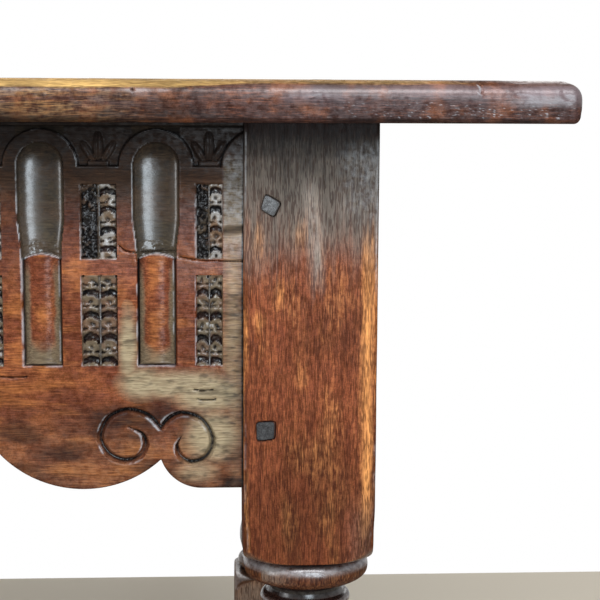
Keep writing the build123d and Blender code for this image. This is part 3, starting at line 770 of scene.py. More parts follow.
# %% Build the four rails
def build_rail(name, seed):
    """One rail with its tenons; the front one gets the finest points and the marks at its right end."""
    degrees, clear, reach = SIDES[name]
    half, show_corner = clear / 2, name == "front"
    columns, edge, down = rail_grid(half, show_corner)
    x, depth, at = carve_rail(columns, edge, down, clear, seed, show_corner)

    face = -reach + RAIL_SETBACK
    front = np.stack([x, face + depth, LEG_TOP - down], -1)
    back_y = np.full(len(columns), face + RAIL_THICKNESS)
    back = np.stack([np.stack([columns, back_y, LEG_TOP - level], -1) for level in (0 * edge, edge)])
    rows, count = down.shape
    top_back, foot_back = rows * count, (rows + 1) * count
    strip = np.arange(count)
    quads = [grid_quads(rows, count), grid_quads(2, count, top_back)[:, ::-1]]
    for one, other in ((top_back + strip, strip), ((rows - 1) * count + strip, foot_back + strip)):
        quads.append(np.stack([one[:-1], one[1:], other[1:], other[:-1]], -1))
    left_end = np.concatenate([np.arange(rows) * count, [foot_back, top_back]])
    rims = [left_end, (left_end + count - 1)[::-1]]

    points = [front.reshape(-1, 3), back.reshape(-1, 3)]
    heights = [(LEG_TOP - foot, LEG_TOP - top) for top, foot in TENONS]
    add_tenons(points, quads, half, -reach + TENON_FROM_FACE, heights)
    paint = paint_for(points, paint_rail(at, show_corner))
    points, quads = turned(np.concatenate(points), degrees), np.concatenate(quads)
    return make_piece("carved_rail_" + name, points, quads, ["frieze_" + name], rims, paint)


rails = [build_rail(name, 100 + 20 * index) for index, name in enumerate(SIDES)]

# %% [markdown]
# ## The turned legs
# A leg starts as a square stick. The turner leaves it square where rails and stretchers join, and turns the
# rest round: a fat ring (torus), a neck, a thin ring, a vase and a foot. So a leg can be made as one grid:
# each row is a height with its turning radius, each column a direction from the axis, and a point lies at
# the square's side or at the turning radius, whichever is nearer. Where the two meet, the shoulders of the
# blocks shape themselves, just as they do on the lathe.

# %% The turning profile
# the head block's length, and the heights of the foot block's two ends
HEAD_BLOCK, FOOT_BLOCK_FOOT, FOOT_BLOCK_TOP = 276.4, 95.0, 225.0
LEG_HALF = LEG_SIZE / 2
SHOULDER = LEG_HALF * math.sqrt(2) - LEG_HALF
# a turning radius that is wider than the square's corners, so that the square side is always the nearer
SQUARE = 99.0
# height above the head block's end, and turning radius, where its corners are eased
HEAD_EASING = ((14.5, 84), (13, 77), (11, 71.5), (8, 67), (5, 64.4), (2, 62.9))


def arc_rows(centre, radius, start, stop, count):
    """Points (height, radius) on a quarter or half circle, angles in degrees from straight out."""
    angle = np.radians(np.linspace(start, stop, count))
    return [(centre[0] + radius[0] * math.sin(a), centre[1] + radius[1] * math.cos(a)) for a in angle]


def bead_rows(top, foot, core, full, count=15):
    """A half-round ring between two heights, from its core radius to its full radius."""
    middle = (top + foot) / 2
    return arc_rows((middle, core), (top - middle, full - core), 90, -90, count)


def curve_rows(points, count):
    """Heights and radii along a smooth curve through the points."""
    path = smooth_path(points, count)
    return [tuple(point) for point in path]


print("the turning is", round(HEAD_EASING[-1][1]), "mm in radius where the head block ends")

# %% The rows of a leg
def leg_rows(step):
    """Heights and turning radii from the leg's top to the floor; a square block has radius SQUARE."""
    head_arris = LEG_TOP - HEAD_BLOCK
    torus_top = head_arris - SHOULDER - 1.2
    neck_top = torus_top - 18.5
    ring_top = neck_top - 11.5
    vase_top = ring_top - 8
    low_foot = FOOT_BLOCK_TOP + SHOULDER + 1.2
    vase_foot = low_foot + 13
    foot_top = FOOT_BLOCK_FOOT - SHOULDER
    fine = step * 0.45
    head = spaced((0, 44, step), (44, 64, fine), (64, 192, step), (192, 212, fine),
                  (212, HEAD_BLOCK - 16, step))
    rows = [(LEG_TOP - down, SQUARE) for down in head]
    rows += [(head_arris + up, radius) for up, radius in HEAD_EASING]
    rows += arc_rows((head_arris, LEG_HALF), (SHOULDER, SHOULDER), 0, -90, 22)
    # the fat ring, the neck and the thin ring
    rows += [(torus_top + 0.5, 35.5)] + bead_rows(torus_top, neck_top, 34.0, 44.6, 25)
    rows += curve_rows([(neck_top - 0.6, 31.5), (neck_top - 3.4, 26.6), (neck_top - 7, 25.3),
                        (ring_top + 0.8, 26.6)], 4)
    rows += bead_rows(ring_top, vase_top, 27.6, 31.2)
    # the vase and the ring it stands on
    slender = (vase_top + vase_foot) / 2 + 12
    rows += curve_rows([(vase_top - 0.4, 26.2), (vase_top - 1.6, 22.6), (slender, 27.5),
                        (vase_foot + 27, 38.0), (vase_foot + 8, 36.4), (vase_foot + 0.6, 33.2)], 10)
    rows += bead_rows(vase_foot, low_foot, 34.4, 40.3)
    # the foot block and the foot
    rows += arc_rows((FOOT_BLOCK_TOP, LEG_HALF), (SHOULDER, SHOULDER), 90, 0, 16)
    rows += [(-z, SQUARE) for z in spaced((1.1 - FOOT_BLOCK_TOP, -1.1 - FOOT_BLOCK_FOOT, 2.2))]
    rows += arc_rows((FOOT_BLOCK_FOOT, LEG_HALF), (SHOULDER, SHOULDER), 0, -90, 16)
    rows += curve_rows([(foot_top - 0.4, 37.0), (foot_top - 3.5, 30.0), (foot_top - 9, 28.0),
                        (foot_top - 22, 33.5), (33, 41.0), (12, 38.4), (0, 32.0)], 9)
    return np.array(rows)


sample = leg_rows(1.25)
print("leg rows", len(sample), "from", sample[0], "to", sample[-1])

# %% [markdown]
# The peg holes show as a thin dark line round each peg's head, so a fine groove is cut there. A peg is cut
# by hand, so its outline is four corners joined up and softened, and the groove follows the distance from
# it.

# %% Peg outlines and the columns of a leg
# how far in from the leg's outer edge and down from its top the two upper pegs are, then the lower one
PEG_OUT, PEG_DOWN = (17.2, 14.6), (54.1, 202.4)
STRETCHER_PEG = (18.0, 557.0)
PEG_CORNERS = (((-3.0, 7.2), (6.5, 1.8), (2.4, -7.0), (-5.9, -2.2)),
               ((-6.0, 5.5), (6.0, 6.0), (5.7, -5.2), (-5.6, -6.6)))


def peg_outline(corners, count=40):
    """A hand-cut square with soft corners, as (across, up) points."""
    corners = np.array(corners, float)
    side = np.linspace(0, 1, count // 4, endpoint=False)[:, None]
    points = np.concatenate([a + side * (b - a) for a, b in zip(corners, np.roll(corners, -1, 0))])
    for _ in range(2):
        points = (np.roll(points, 1, 0) + points + np.roll(points, -1, 0)) / 3
    return points


def outline_distance(across, up, outline):
    """Distance from a closed outline round the origin, negative inside."""
    angle = np.arctan2(outline[:, 1], outline[:, 0])
    order = np.argsort(angle)
    reach = np.hypot(*outline[order].T)
    radius = np.interp(np.arctan2(up, across), angle[order], reach, period=2 * math.pi)
    return np.hypot(across, up) - radius


def leg_columns(fine_front):
    """Directions from the axis: place along a face and which face, going round from the front."""
    plain = spaced((-LEG_HALF, -40, 0.7), (-40, 40, 1.9), (40, LEG_HALF, 0.7))[:-1]
    fine = spaced((-LEG_HALF, -39, 0.6), (-39, -18, 0.55), (-18, 38, 1.2), (38, LEG_HALF, 0.6))[:-1]
    along = [fine if fine_front and face == 0 else plain for face in range(4)]
    return np.concatenate(along), np.concatenate([np.full(len(a), face) for face, a in enumerate(along)])


print("a peg's head is", np.ptp(peg_outline(PEG_CORNERS[1]), axis=0).round(1), "mm")

# %% [markdown]
# Paint follows the same idea as on the rails: soot and painted shadow under the top that fade in streaks
# down the grain, and soot with painted shade in the hollows of the turning. The rings carry painted highlight
# bands, the blocks painted highlights on their arrises, and wet mops have left the foot blocks grey. One leg,
# the one at the right front corner, is marked more than the rest: a grey green streak where something ran
# down it, an orange stripe where the right arris is rubbed through to bright wood, and painted highlights on
# its front arrises.

# %% The marks on the front right leg
# spots rubbed bright: across from the left arris, down, half width and half height
BRIGHT_SPOTS = ((9, 74, 4, 11), (11, 130, 3, 6), (36, 72, 6, 8), (24, 112, 4, 9))
STRIPE_ACROSS, STRIPE_WIDTH, STREAK_ACROSS, STREAK_WIDTH = 82.0, 3.8, 45, 5
# above this a leg is painted as a square block, below it as turned work
BLOCK_END = 300


def leg_marks(at, show):
    """Masks for the marks that only one leg has; all are nothing unless show."""
    marks = SimpleNamespace(stripe=0.0, spots=0.0, streak=0.0, lines=0.0, corner=0.0, dust=0.0, polish=0.0)
    if not show:
        return marks
    front, across, down = (at.face == 0) * at.square, at.along + LEG_HALF, at.down
    stripe = np.exp(-np.abs((across - STRIPE_ACROSS - 3 * (at.patches - 0.5)) / STRIPE_WIDTH) ** 2.2)
    marks.stripe = front * (stripe * ramp(56, 86, at.fade) * ramp(290, 235, at.fade))
    spots = 0
    for place, height, wide, tall in BRIGHT_SPOTS:
        spots = spots + np.exp(-((across - place) / wide) ** 2 - ((down - height) / tall) ** 2)
    marks.spots = front * 0.42 * spots
    streak = np.exp(-np.abs((across - STREAK_ACROSS - 0.09 * (down - 60)) / STREAK_WIDTH) ** 2.4)
    marks.streak = front * (streak * ramp(28, 50, down) * ramp(122, 84, at.fade))
    # painted highlights along the front right leg's two front arrises
    left_line = bell(across, 1.0, 0.7) * ramp(4, 10, down) * ramp(60, 36, down)
    right_line = bell(across, LEG_SIZE - 1, 0.8) * ramp(8, 16, down) * ramp(120, 90, down)
    marks.lines = front * (0.3 * left_line + 0.32 * right_line)
    marks.corner = front * ramp(62, 84, across) * ramp(238, 268, down) * (down < BLOCK_END)
    # marks.dust: grey olive haze on the left of the fat ring, partly dust and partly a painted highlight
    marks.dust = (at.face == 0) * ramp(-4, -30, at.along) * ramp(296, 300, down) * ramp(312, 307, down)
    marks.polish = 0.14 * front * ramp(56, 78, across) * ramp(10, 24, down) * ramp(74, 44, down)
    return marks


print("bright spots", len(BRIGHT_SPOTS))

# %% [markdown]
# The paint of a leg is made like that of a rail: first a record of what every spot is (on the square block,
# in a hollow of the turning, under a painted highlight band, where the mop reaches), then one small function
# for each mask.
# Soot comes first here too, because the other masks are worn through it or lie on it.

# %% What each spot on a leg is
# soot and painted shadow of the top: distances down the leg and how dark it is there, once with ragged
# streaks, once straight under the top
STREAKED_SOOT_AND_SHADE = ((0, 12, 26, 50, 74, 96), (0.98, 0.93, 0.66, 0.42, 0.2, 0.0))
STRAIGHT_SOOT_AND_SHADOW = ((0, 8, 22, 34), (0.97, 0.95, 0.8, 0.0))
# where the painted highlight bands on the fat ring and the thin ring lie, down from the leg's top
TORUS_HIGHLIGHT, RING_HIGHLIGHT = 300.3, 329.1
# where a wet mop's reach begins and where it is full, down from the leg's top
MOP_REACH = (464, 484)


def leg_spots(down, along, face, radius, square, peg_line, seed):
    """What the paint needs to know of each spot on a leg."""
    at = SimpleNamespace(down=down, along=along, face=face, square=square, peg_line=peg_line, seed=seed)
    at.around = along + 90 * face
    at.grain = cloud(at.around, down, (1.6, 34), seed)
    at.patches = cloud(at.around, down, (16, 50), seed + 1)
    at.fade = down + 30 * (at.grain - 0.5) + 34 * (at.patches - 0.5)
    at.past_edge = np.abs(along) - LEG_HALF
    at.on_block = square * (down < BLOCK_END)
    average = soften(radius, 5)
    at.hollow = ramp(0.3, 2.2, average - radius) * (1 - square)
    at.proud = ramp(0.2, 1.6, radius - average) * (1 - square)
    at.turned = (1 - square) * ramp(268, 280, down)
    # bands where the rings' highlights are painted
    at.crown = bell(down, TORUS_HIGHLIGHT, 2.0) + 0.7 * bell(down, RING_HIGHLIGHT, 1.5)
    at.below_crown = ramp(TORUS_HIGHLIGHT + 2.5, TORUS_HIGHLIGHT + 4.5, down) * ramp(320, 316, down)
    at.neck = ramp(291, 296, down) * ramp(330, 322, down) * ramp(43, 37, radius)
    at.mopped = ramp(*MOP_REACH, down) * (0.7 + 0.4 * at.patches) * (0.5 + 0.5 * square)
    return at


print("soot fades out", STREAKED_SOOT_AND_SHADE[0][-1], "mm down a leg")

# %% Soot and painted shade, haze, wear, painted highlights and gloss on a leg
def soot_and_shade_on_leg(at, marks):
    """Soot, with painted shade under the top and in the turning's hollows; round the pegs and low on the
    block.
    """
    # soot under the top, which is also the painted shadow of the top's overhang
    soot = most(np.interp(at.fade, *STREAKED_SOOT_AND_SHADE), np.interp(at.down, *STRAIGHT_SOOT_AND_SHADOW))
    soot = most(soot * (1 - 0.85 * marks.streak), 0.5 * marks.corner, 0.92 * ramp(0.15, 0.6, at.peg_line))
    low_on_block = (0.16 + 0.25 * ramp(0.45, 0.75, at.patches)) * at.on_block * ramp(170, 250, at.down)
    near_arris = ramp(-6, -1.5, at.past_edge) * ramp(0.62, 0.45, at.patches)
    soot = most(soot, low_on_block, 0.55 * near_arris * at.on_block * ramp(150, 250, at.down))
    low_patches = ramp(0.55, 0.8, cloud(at.around, at.down, (40, 70), at.seed + 4))
    # painted shade with soot in the hollows of the turning
    soot = most(soot, 0.5 * low_patches * ramp(450, 700, at.down), 0.96 * at.hollow)
    # the turning's own dark colour, with painted shade in the neck under the fat ring
    soot = most(soot, (0.68 - 0.08 * at.below_crown + 0.3 * at.neck) * at.turned)
    return soot * (1 - 0.35 * marks.dust) * (1 - 0.75 * at.mopped)


def haze_on_leg(at, marks):
    """Dull wax high on the block, down the streak, in patches on the turning and on the foot block."""
    high = 0.86 * ramp(2, 14, at.down) * ramp(112, 44, at.fade)
    ring_patches = ramp(0.5, 0.75, cloud(at.around, at.down, (60, 12), at.seed + 5))
    on_turning = at.turned * 0.2 * ring_patches * (1 - at.hollow)
    # marks.dust lays grey olive on the left of the fat ring: partly dust, partly a painted highlight
    return most(high, marks.streak * (0.8 + 1.4 * (at.grain - 0.5)), 0.2 * marks.corner, on_turning,
                0.6 * marks.dust, 0.76 * at.mopped)


def wear_on_leg(at, marks):
    """Rubbed arrises and patches on the blocks, and the proud rings of the turning."""
    arris = ramp(-4.5, -1, at.past_edge) * at.square
    rubbed = arris * ramp(0.35, 0.65, cloud(at.around, at.down, (30, 50), at.seed + 2))
    wear = 0.15 * ramp(0.5, 0.8, at.patches) * ramp(80, 120, at.down)
    wear = most(wear, 0.34 * rubbed * ramp(60, 100, at.down))
    wear = most(wear, marks.stripe * (0.2 + 1.1 * at.grain), marks.spots * (0.2 + 1.3 * at.grain))
    wear = most(wear, 0.16 * marks.streak)
    return most(wear * (1 - at.turned), 0.3 * at.proud, 0.4 * at.mopped)


def highlights_on_leg(at, marks):
    """Painted highlights on the rings' bands and on arrises, and a little pale on the streak."""
    broken = 0.7 + 0.3 * ramp(0.3, 0.6, cloud(at.around, at.down, (26, 3), at.seed + 7))
    arris = ramp(-2.4, -0.9, at.past_edge) * ramp(0.5, 0.66, cloud(at.around, at.down, (30, 9), at.seed + 6))
    arris = arris * at.square * ramp(170, 215, at.down)
    # painted highlights: the bands on the rings, the front arrises, and the arrises low on the blocks
    return most(0.05 * marks.streak, marks.lines, 0.30 * at.crown * at.turned * broken, 0.08 * arris)


def paint_leg(at, show):
    """All five masks of a leg; the turned rings are the glossiest part."""
    marks = leg_marks(at, show)
    waxed = (0.85 + 0.3 * at.crown) * at.turned * (1 - at.hollow) * (1 - 0.8 * at.below_crown)
    return {"wear": wear_on_leg(at, marks), "soot": soot_and_shade_on_leg(at, marks), "bloom": haze_on_leg(at, marks),
            "pale": highlights_on_leg(at, marks), "gloss": most(0.02 * at.square + marks.polish, waxed)}


print("the mop's reach is full from", MOP_REACH[1], "mm down")

# %% [markdown]
# A leg's arrises are rubbed round, more in some places than in others, and most of all where the head block
# ends. So each corner gets its own rounding, from a cloud. Where the square side and the turning meet, the
# nearer of the two is taken, with the corner between them softened.

# %% Rounded corners and peg grooves
ARRIS_SOFT = 1.6
PEG_GROOVE, LEG_SCAR_CUT = 1.1, 1.1
LEG_SCAR = (9, 142)


def leg_shape(rows, along, face, down, seed):
    """The distance from the axis at each point, and how far it lies on the square part from 0 to 1."""
    around = along + 90 * face
    nearest_corner = 90 * np.round((around + 45) / 90)
    worn = 1.3 + 3.4 * cloud(around * 0 + nearest_corner, down, (40, 42), seed + 8) ** 2
    worn = worn + 6.0 * ramp(HEAD_BLOCK - 22, HEAD_BLOCK - 2, down) * (down < HEAD_BLOCK + 30)
    corner = LEG_HALF - worn
    reach = np.hypot(along, LEG_HALF)
    toward = corner * (np.abs(along) + LEG_HALF) / reach
    rounded = toward + np.sqrt(np.clip(toward ** 2 - 2 * corner ** 2 + worn ** 2, 0, None))
    square_radius = np.where(np.abs(along) > corner, np.minimum(rounded, reach), reach)
    turning = rows[:, 1:] + 0.35 * (cloud(around, down, (70, 7), seed + 9) - 0.6)
    nearer, further = np.minimum(square_radius, turning), np.maximum(square_radius, turning)
    radius = nearer - ARRIS_SOFT * np.log1p(np.exp((nearer - further) / ARRIS_SOFT))
    return radius, ramp(-0.5, 3, turning - square_radius)


def peg_grooves(along, face, down):
    """1 along the outline of each peg's head and 0 away from it."""
    groove = np.zeros_like(down)
    for peg_face, sign in ((0, -1), (1, 1)):
        for out, peg_down, corners in zip(PEG_OUT, PEG_DOWN, PEG_CORNERS):
            across = (along - sign * (LEG_HALF - out)) * -sign
            gap = outline_distance(across, peg_down - down, peg_outline(corners)) - 0.35
            groove += (face == peg_face) * np.where(np.abs(gap) < 3, bell(gap, 0, 0.6), 0)
    return groove


print("a groove round a peg is", PEG_GROOVE, "mm deep")

# %% Build the four legs
def build_leg(name, seed, show=False):
    """One leg; show gives the front right one its finer points and its own marks."""
    rows = leg_rows(1.25 if show else 2.4)
    along, face = leg_columns(show)
    heights = rows[:, :1]
    along, face, down = along + 0 * heights, face + 0 * heights.astype(int), LEG_TOP - heights + 0 * along
    radius, square = leg_shape(rows, along, face, down, seed)
    reach, around = np.hypot(along, LEG_HALF), along + 90 * face
    groove = peg_grooves(along, face, down)
    sunk = 0.14 * cloud(around, down, (18, 70), seed + 10) + 0.1 * cloud(around, down, (1.8, 30), seed + 11)
    if show:
        scar = np.hypot((along + LEG_HALF - LEG_SCAR[0]) / 1.7, (down - LEG_SCAR[1]) / 2.4)
        sunk += (face == 0) * LEG_SCAR_CUT * bell(scar, 0, 1)
    sunk += PEG_GROOVE * groove
    radius -= sunk * square * reach / LEG_HALF

    turn = np.radians(90.0 * face)
    x, y = along / reach * radius, -LEG_HALF / reach * radius
    x, y = x * np.cos(turn) - y * np.sin(turn), x * np.sin(turn) + y * np.cos(turn)
    low, high = node_box(name)
    centre = (low + high) / 2
    sign_x, sign_y = math.copysign(1, centre[0]), -math.copysign(1, centre[1])
    points = np.stack([centre[0] + sign_x * x, centre[1] + sign_y * y, heights + 0 * x], -1)
    quads = grid_quads(*x.shape, wrap=True)
    at = leg_spots(down, along, face, radius, square, groove, seed)
    paint = {mask: values.ravel() for mask, values in paint_leg(at, show).items()}
    return make_piece("turned_" + name, points, quads, [name], end_rims(*x.shape), paint)


legs = [build_leg("leg_front_right", 200, True)]
for index, name in enumerate(("leg_front_left", "leg_back_right", "leg_back_left")):
    legs.append(build_leg(name, 230 + 30 * index))

# %% [markdown]
# Each joint is held by whittled pegs. A peg's head is a rough square of end grain that stands a hair above
# the leg, and the shank runs through the tenon behind it. The heads follow the outlines used for the
# grooves.

# %% Pegs
# sections of a head: its share of the outline, and how deep it lies in the leg
HEAD_SECTIONS = ((0.35, -0.95), (0.7, -0.9), (0.88, -0.75), (0.96, -0.45), (1.0, 0.1), (1.0, 6.0))
SHANK_RADIUS, SHANK_DEPTHS = 4.7, (6.1, 36.0)
# the lower pegs are grimier than the upper ones
LOW_PEG_GRIME, HIGH_PEG_GRIME, LOW_FROM = 0.74, 0.08, 100


def peg_rings(corners):
    """Rings of points from the middle of a peg's head to the far end of its shank."""
    outline = peg_outline(corners)
    across, up = outline.T
    rings = [np.stack([across * share, 0 * across + depth, up * share], -1) for share, depth in HEAD_SECTIONS]
    angle = np.arctan2(up, across)
    across, up = SHANK_RADIUS * np.cos(angle), SHANK_RADIUS * np.sin(angle)
    rings += [np.stack([across, 0 * angle + depth, up], -1) for depth in SHANK_DEPTHS]
    return np.stack(rings)


def build_pegs(name, prefix, places, nodes):
    """Pegs through both ends of one side; places are (out, down, corners)."""
    degrees, clear, reach = SIDES[name]
    points, quads, rims, grime, start = [], [], [], [], 0
    for end in (-1, 1):
        for out, down, corners in places:
            rings = peg_rings([(end * across, up) for across, up in corners])
            rows, around = rings.shape[:2]
            rings = rings + np.array([end * (clear / 2 + out), -reach, LEG_TOP - down])
            points.append(rings.reshape(-1, 3))
            grime.append(np.full(rows * around, LOW_PEG_GRIME if down > LOW_FROM else HIGH_PEG_GRIME))
            wound, ends = grid_quads(rows, around, start, wrap=True), end_rims(rows, around, start)
            if end < 0:
                wound, ends = wound[:, ::-1], [rim[::-1] for rim in ends]
            quads.append(wound)
            rims += ends
            start += rows * around
    return make_piece(prefix + name, turned(np.concatenate(points), degrees), np.concatenate(quads), nodes,
                      rims, {"soot": np.concatenate(grime)})


pegs = []
frieze_places = list(zip(PEG_OUT, PEG_DOWN, PEG_CORNERS))
stretcher_places = [(*STRETCHER_PEG, PEG_CORNERS[1])]
for name in SIDES:
    pegs.append(build_pegs(name, "peg_heads_", frieze_places, ["frieze_pegs_" + name]))
    pegs.append(build_pegs(name, "low_peg_heads_", stretcher_places, ["stretcher_pegs_" + name]))

# %% [markdown]
# ## The stretchers
# Four low rails tie the legs together just above the feet. People rest their shoes on them, so the upper
# outer edge is worn into long shallow dips. One section is drawn and carried along the rail, and its upper
# rounding grows where the wear is deepest.

# %% Build the stretchers
STRETCHER_TENON = 50.0
BACK_ROUND, DEEPEST_DIP = 7.0, 16
# how much of their length the sides and the underside use, to leave the lower arrises a little flat
SIDE_PLACES, BACK_PLACES, UNDER_PLACES = np.linspace(0.03, 1, 9), np.linspace(0.1, 0.97, 7), (0.96, 0.5, 0.04)


def stretcher_section(x, clear, face, foot, top, thickness, seed):
    """The outline of a stretcher at each place along it, and how deep the wear goes there."""
    flat = 0 * x
    dip = 7 + 9 * cloud(x, flat, (170, 10), seed) ** 1.5 * np.sin(math.pi * (x / clear + 0.5)) ** 0.5
    angle = np.radians(np.linspace(0, 90, 10))
    side = [(face + flat, foot + (top - DEEPEST_DIP - foot) * share + flat) for share in SIDE_PLACES]
    front_edge = [(face + dip * (1 - np.cos(a)), top - dip * (1 - np.sin(a))) for a in angle]
    back_face, back_top = face + thickness, top - BACK_ROUND
    rounding = BACK_ROUND + flat
    back_edge = [(back_face - rounding * (1 - np.sin(a)), top - rounding * (1 - np.cos(a))) for a in angle]
    back = [(back_face + flat, back_top - (back_top - foot) * share + flat) for share in BACK_PLACES]
    under = [(face + thickness * share + flat, foot + flat) for share in UNDER_PLACES]
    loop = side + front_edge + back_edge + back + under
    return np.concatenate([y for y, _ in loop], 1), np.concatenate([z for _, z in loop], 1), dip


def paint_stretcher(x, around, height, dip, clear, seed):
    """Rubbed along the worn edge, sooty low down and beside the legs, and hazy in patches."""
    rub = ramp(0.78, 0.97, height) * ramp(7.5, 11, dip)
    patches = ramp(0.5, 0.75, cloud(x, around, (60, 40), seed + 3))
    beside_legs = 0.9 * ramp(14, 0, clear / 2 - np.abs(x))
    haze = 0.8 * ramp(0.45, 0.72, cloud(x, around, (90, 30), seed + 4)) * (1 - rub)
    return {"wear": most(rub, 0.5 * patches), "soot": most(0.75 * ramp(0.45, 0.0, height), beside_legs),
            "bloom": haze}


def build_stretcher(name, seed):
    """One stretcher with its tenons, worn along the upper outer edge."""
    degrees, clear, reach = SIDES[name]
    low, high = node_box("stretcher_front")
    thickness, foot, top = high[1] - low[1], low[2], high[2]
    face = -reach + low[1] - leg_low[1]
    x = spaced((-clear / 2, clear / 2, 3.5))[:, None]
    y, z, dip = stretcher_section(x, clear, face, foot, top, thickness, seed)
    x, dip = x + 0 * y, dip + 0 * y
    around = np.arange(y.shape[1]) * 5.0 + 0 * y
    middle_y, middle_z = face + thickness / 2, (foot + top) / 2
    dent = 0.006 + 0.012 * cloud(x, around, (40, 30), seed + 1) + 0.006 * cloud(x, around, (9, 4), seed + 2)
    y, z = y + (middle_y - y) * dent, z + (middle_z - z) * dent * 0.6

    points, quads = [np.stack([x, y, z], -1).reshape(-1, 3)], [grid_quads(*y.shape, wrap=True)]
    tenon = (middle_z - STRETCHER_TENON / 2, middle_z + STRETCHER_TENON / 2)
    add_tenons(points, quads, clear / 2, -reach + TENON_FROM_FACE, [tenon])
    paint = paint_for(points, paint_stretcher(x, around, (z - foot) / (top - foot), dip, clear, seed))
    points, quads = turned(np.concatenate(points), degrees), np.concatenate(quads)
    return make_piece("worn_stretcher_" + name, points, quads, ["stretcher_" + name],
                      end_rims(*y.shape), paint)


stretchers = [build_stretcher(name, 400 + 10 * index) for index, name in enumerate(SIDES)]

# %% [markdown]
# ## The top
# Three long boards make the top. The outer edges were planed to a flat round and have since been rubbed by
# sleeves, so the upper arris shows a thin golden line of bare wood. Each board is one section carried along
# its length. Near the ends the section sinks, which rounds the end in the same way as the front. A short
# split near the right end is both cut and painted, so one helper says where it runs.

# %% The section of a board
FRONT_ROUND, END_ROUND, ROUND_DOWN, UNDER_ROUND, PLAN_ROUND = 14.0, 13.0, 11.0, 4.0, 6.0
TOP_HALF = node_box("top_board_front")[1][0]
# along the board and down from its upper face
SPLIT_FROM_END, DENT_PLACE = 64, (469, 6.6)
SPLIT_CUT, DENT_CUT = 1.3, 2.5


def quarter(size, drop, away):
    """How far an elliptical rounding has dropped, this far in from the edge."""
    return drop * (1 - np.sqrt(1 - np.clip(1 - away / size, 0, 1) ** 2))


def joined(a, b):
    """Two roundings that meet at a corner, run smoothly together."""
    return (a ** 3.2 + b ** 3.2) ** (1 / 3.2)


def from_split(x, below):
    """Distance along the board from the short wavy split near its right end."""
    return x - (TOP_HALF - SPLIT_FROM_END) - 0.12 * (below - 5) + 0.5 * np.sin(below)


def board_grid(width, half, side, show):
    """Places along the board, and for each point of its section how far in from the outer edge it is and
    whether it is on the underside (0), the upper face (1) or between."""
    ends = END_ROUND * (1 - np.cos(np.linspace(0, math.pi / 2, 12)))
    inner = spaced((-half + END_ROUND, 330, 3.0), (330, half - END_ROUND, 1.0 if show else 3.0))
    x = np.concatenate([-half + ends[:-1], inner, half - ends[:-1][::-1]])[:, None]
    rim = FRONT_ROUND * (1 - np.cos(np.linspace(0, math.pi / 2, 16))) if side else np.zeros(1)
    top = np.concatenate([spaced((-width, -rim[-1] - 2, 6.0)) * -1.0, rim[::-1]])
    upright = np.linspace(1, 0, 32 if show else 12)[1:]
    under_round = UNDER_ROUND * (1 - np.cos(np.linspace(0, math.pi / 2, 6)))[1:]
    under = np.concatenate([under_round, spaced((UNDER_ROUND + 4, width, 16.0))])
    away = np.concatenate([top, 0 * upright, under])
    return x, away, np.concatenate([np.ones(len(top)), upright, np.zeros(len(under))])


print("the top is", round(2 * TOP_HALF), "mm long, and its split lies", SPLIT_FROM_END, "mm from the end")

# %% [markdown]
# The edge is the part one sees at eye level, so it gets the most paint. From the upper arris down come a
# golden line of bare wood, a band of polish, and then soot toward the underside. The polish is strongest
# toward the right end and on the end's rounding. On the flat upper face there are only broad worn and hazy
# patches.

# %% Paint of a board
def golden_line(at):
    """The bare upper arris, widest away from the end; also how far below it each spot is."""
    ragged = at.below + 2.4 * (at.grain - 0.5) + 2.4 * (at.patches - 0.5)
    limit = 2.4 + 3.0 * ramp(200, 262, at.from_end)
    golden = ramp(limit + 0.9, limit - 0.9, ragged) * (0.72 + 0.4 * ramp(0.3, 0.55, at.grain))
    golden = golden * (0.5 + 0.5 * ramp(185, 250, at.from_end))
    return golden * ramp(40, 130, at.from_end + 60 * (at.patches - 0.5)), ragged, limit


def soot_on_board(at, upper_face):
    """Patches on the edge and underside, dark streaks low on the edge, and more toward the right end."""
    soot = 0.4 * ramp(0.55, 0.8, at.patches) * (1 - upper_face) + 0.4 * ramp(14, 23, at.below)
    streaks = 0.4 * ramp(0.6, 0.35, at.grain) * ramp(7, 11, at.below)
    near_end = 0.42 * ramp(280, 130, at.from_end) * ramp(8, 14, at.below) * (0.6 + 0.8 * at.patches)
    return most(soot, at.edge * streaks, at.edge * near_end)


def glints_and_split_lip(at):
    """Painted glints in small flecks low on the edge, and the light lip of the split."""
    specks, gathered = cloud(at.x, at.below, (2.2, 0.5), at.seed + 5), cloud(at.x, at.below, 9, at.seed + 12)
    # painted glints: small light flecks low on the front edge
    fleck_glints = ramp(0.72, 0.78, specks) * (0.4 + 0.6 * ramp(0.3, 0.55, gathered))
    fleck_glints = 0.4 * fleck_glints * at.edge * ramp(12, 15, at.below) * ramp(24, 22.5, at.below) * ramp(560, 650, at.x)
    lip = bell(from_split(at.x, at.below), -1.3, 0.6) * ramp(10.5, 8.5, at.below) * ramp(1.5, 3, at.below)
    return most(fleck_glints, 0.5 * at.edge * lip)


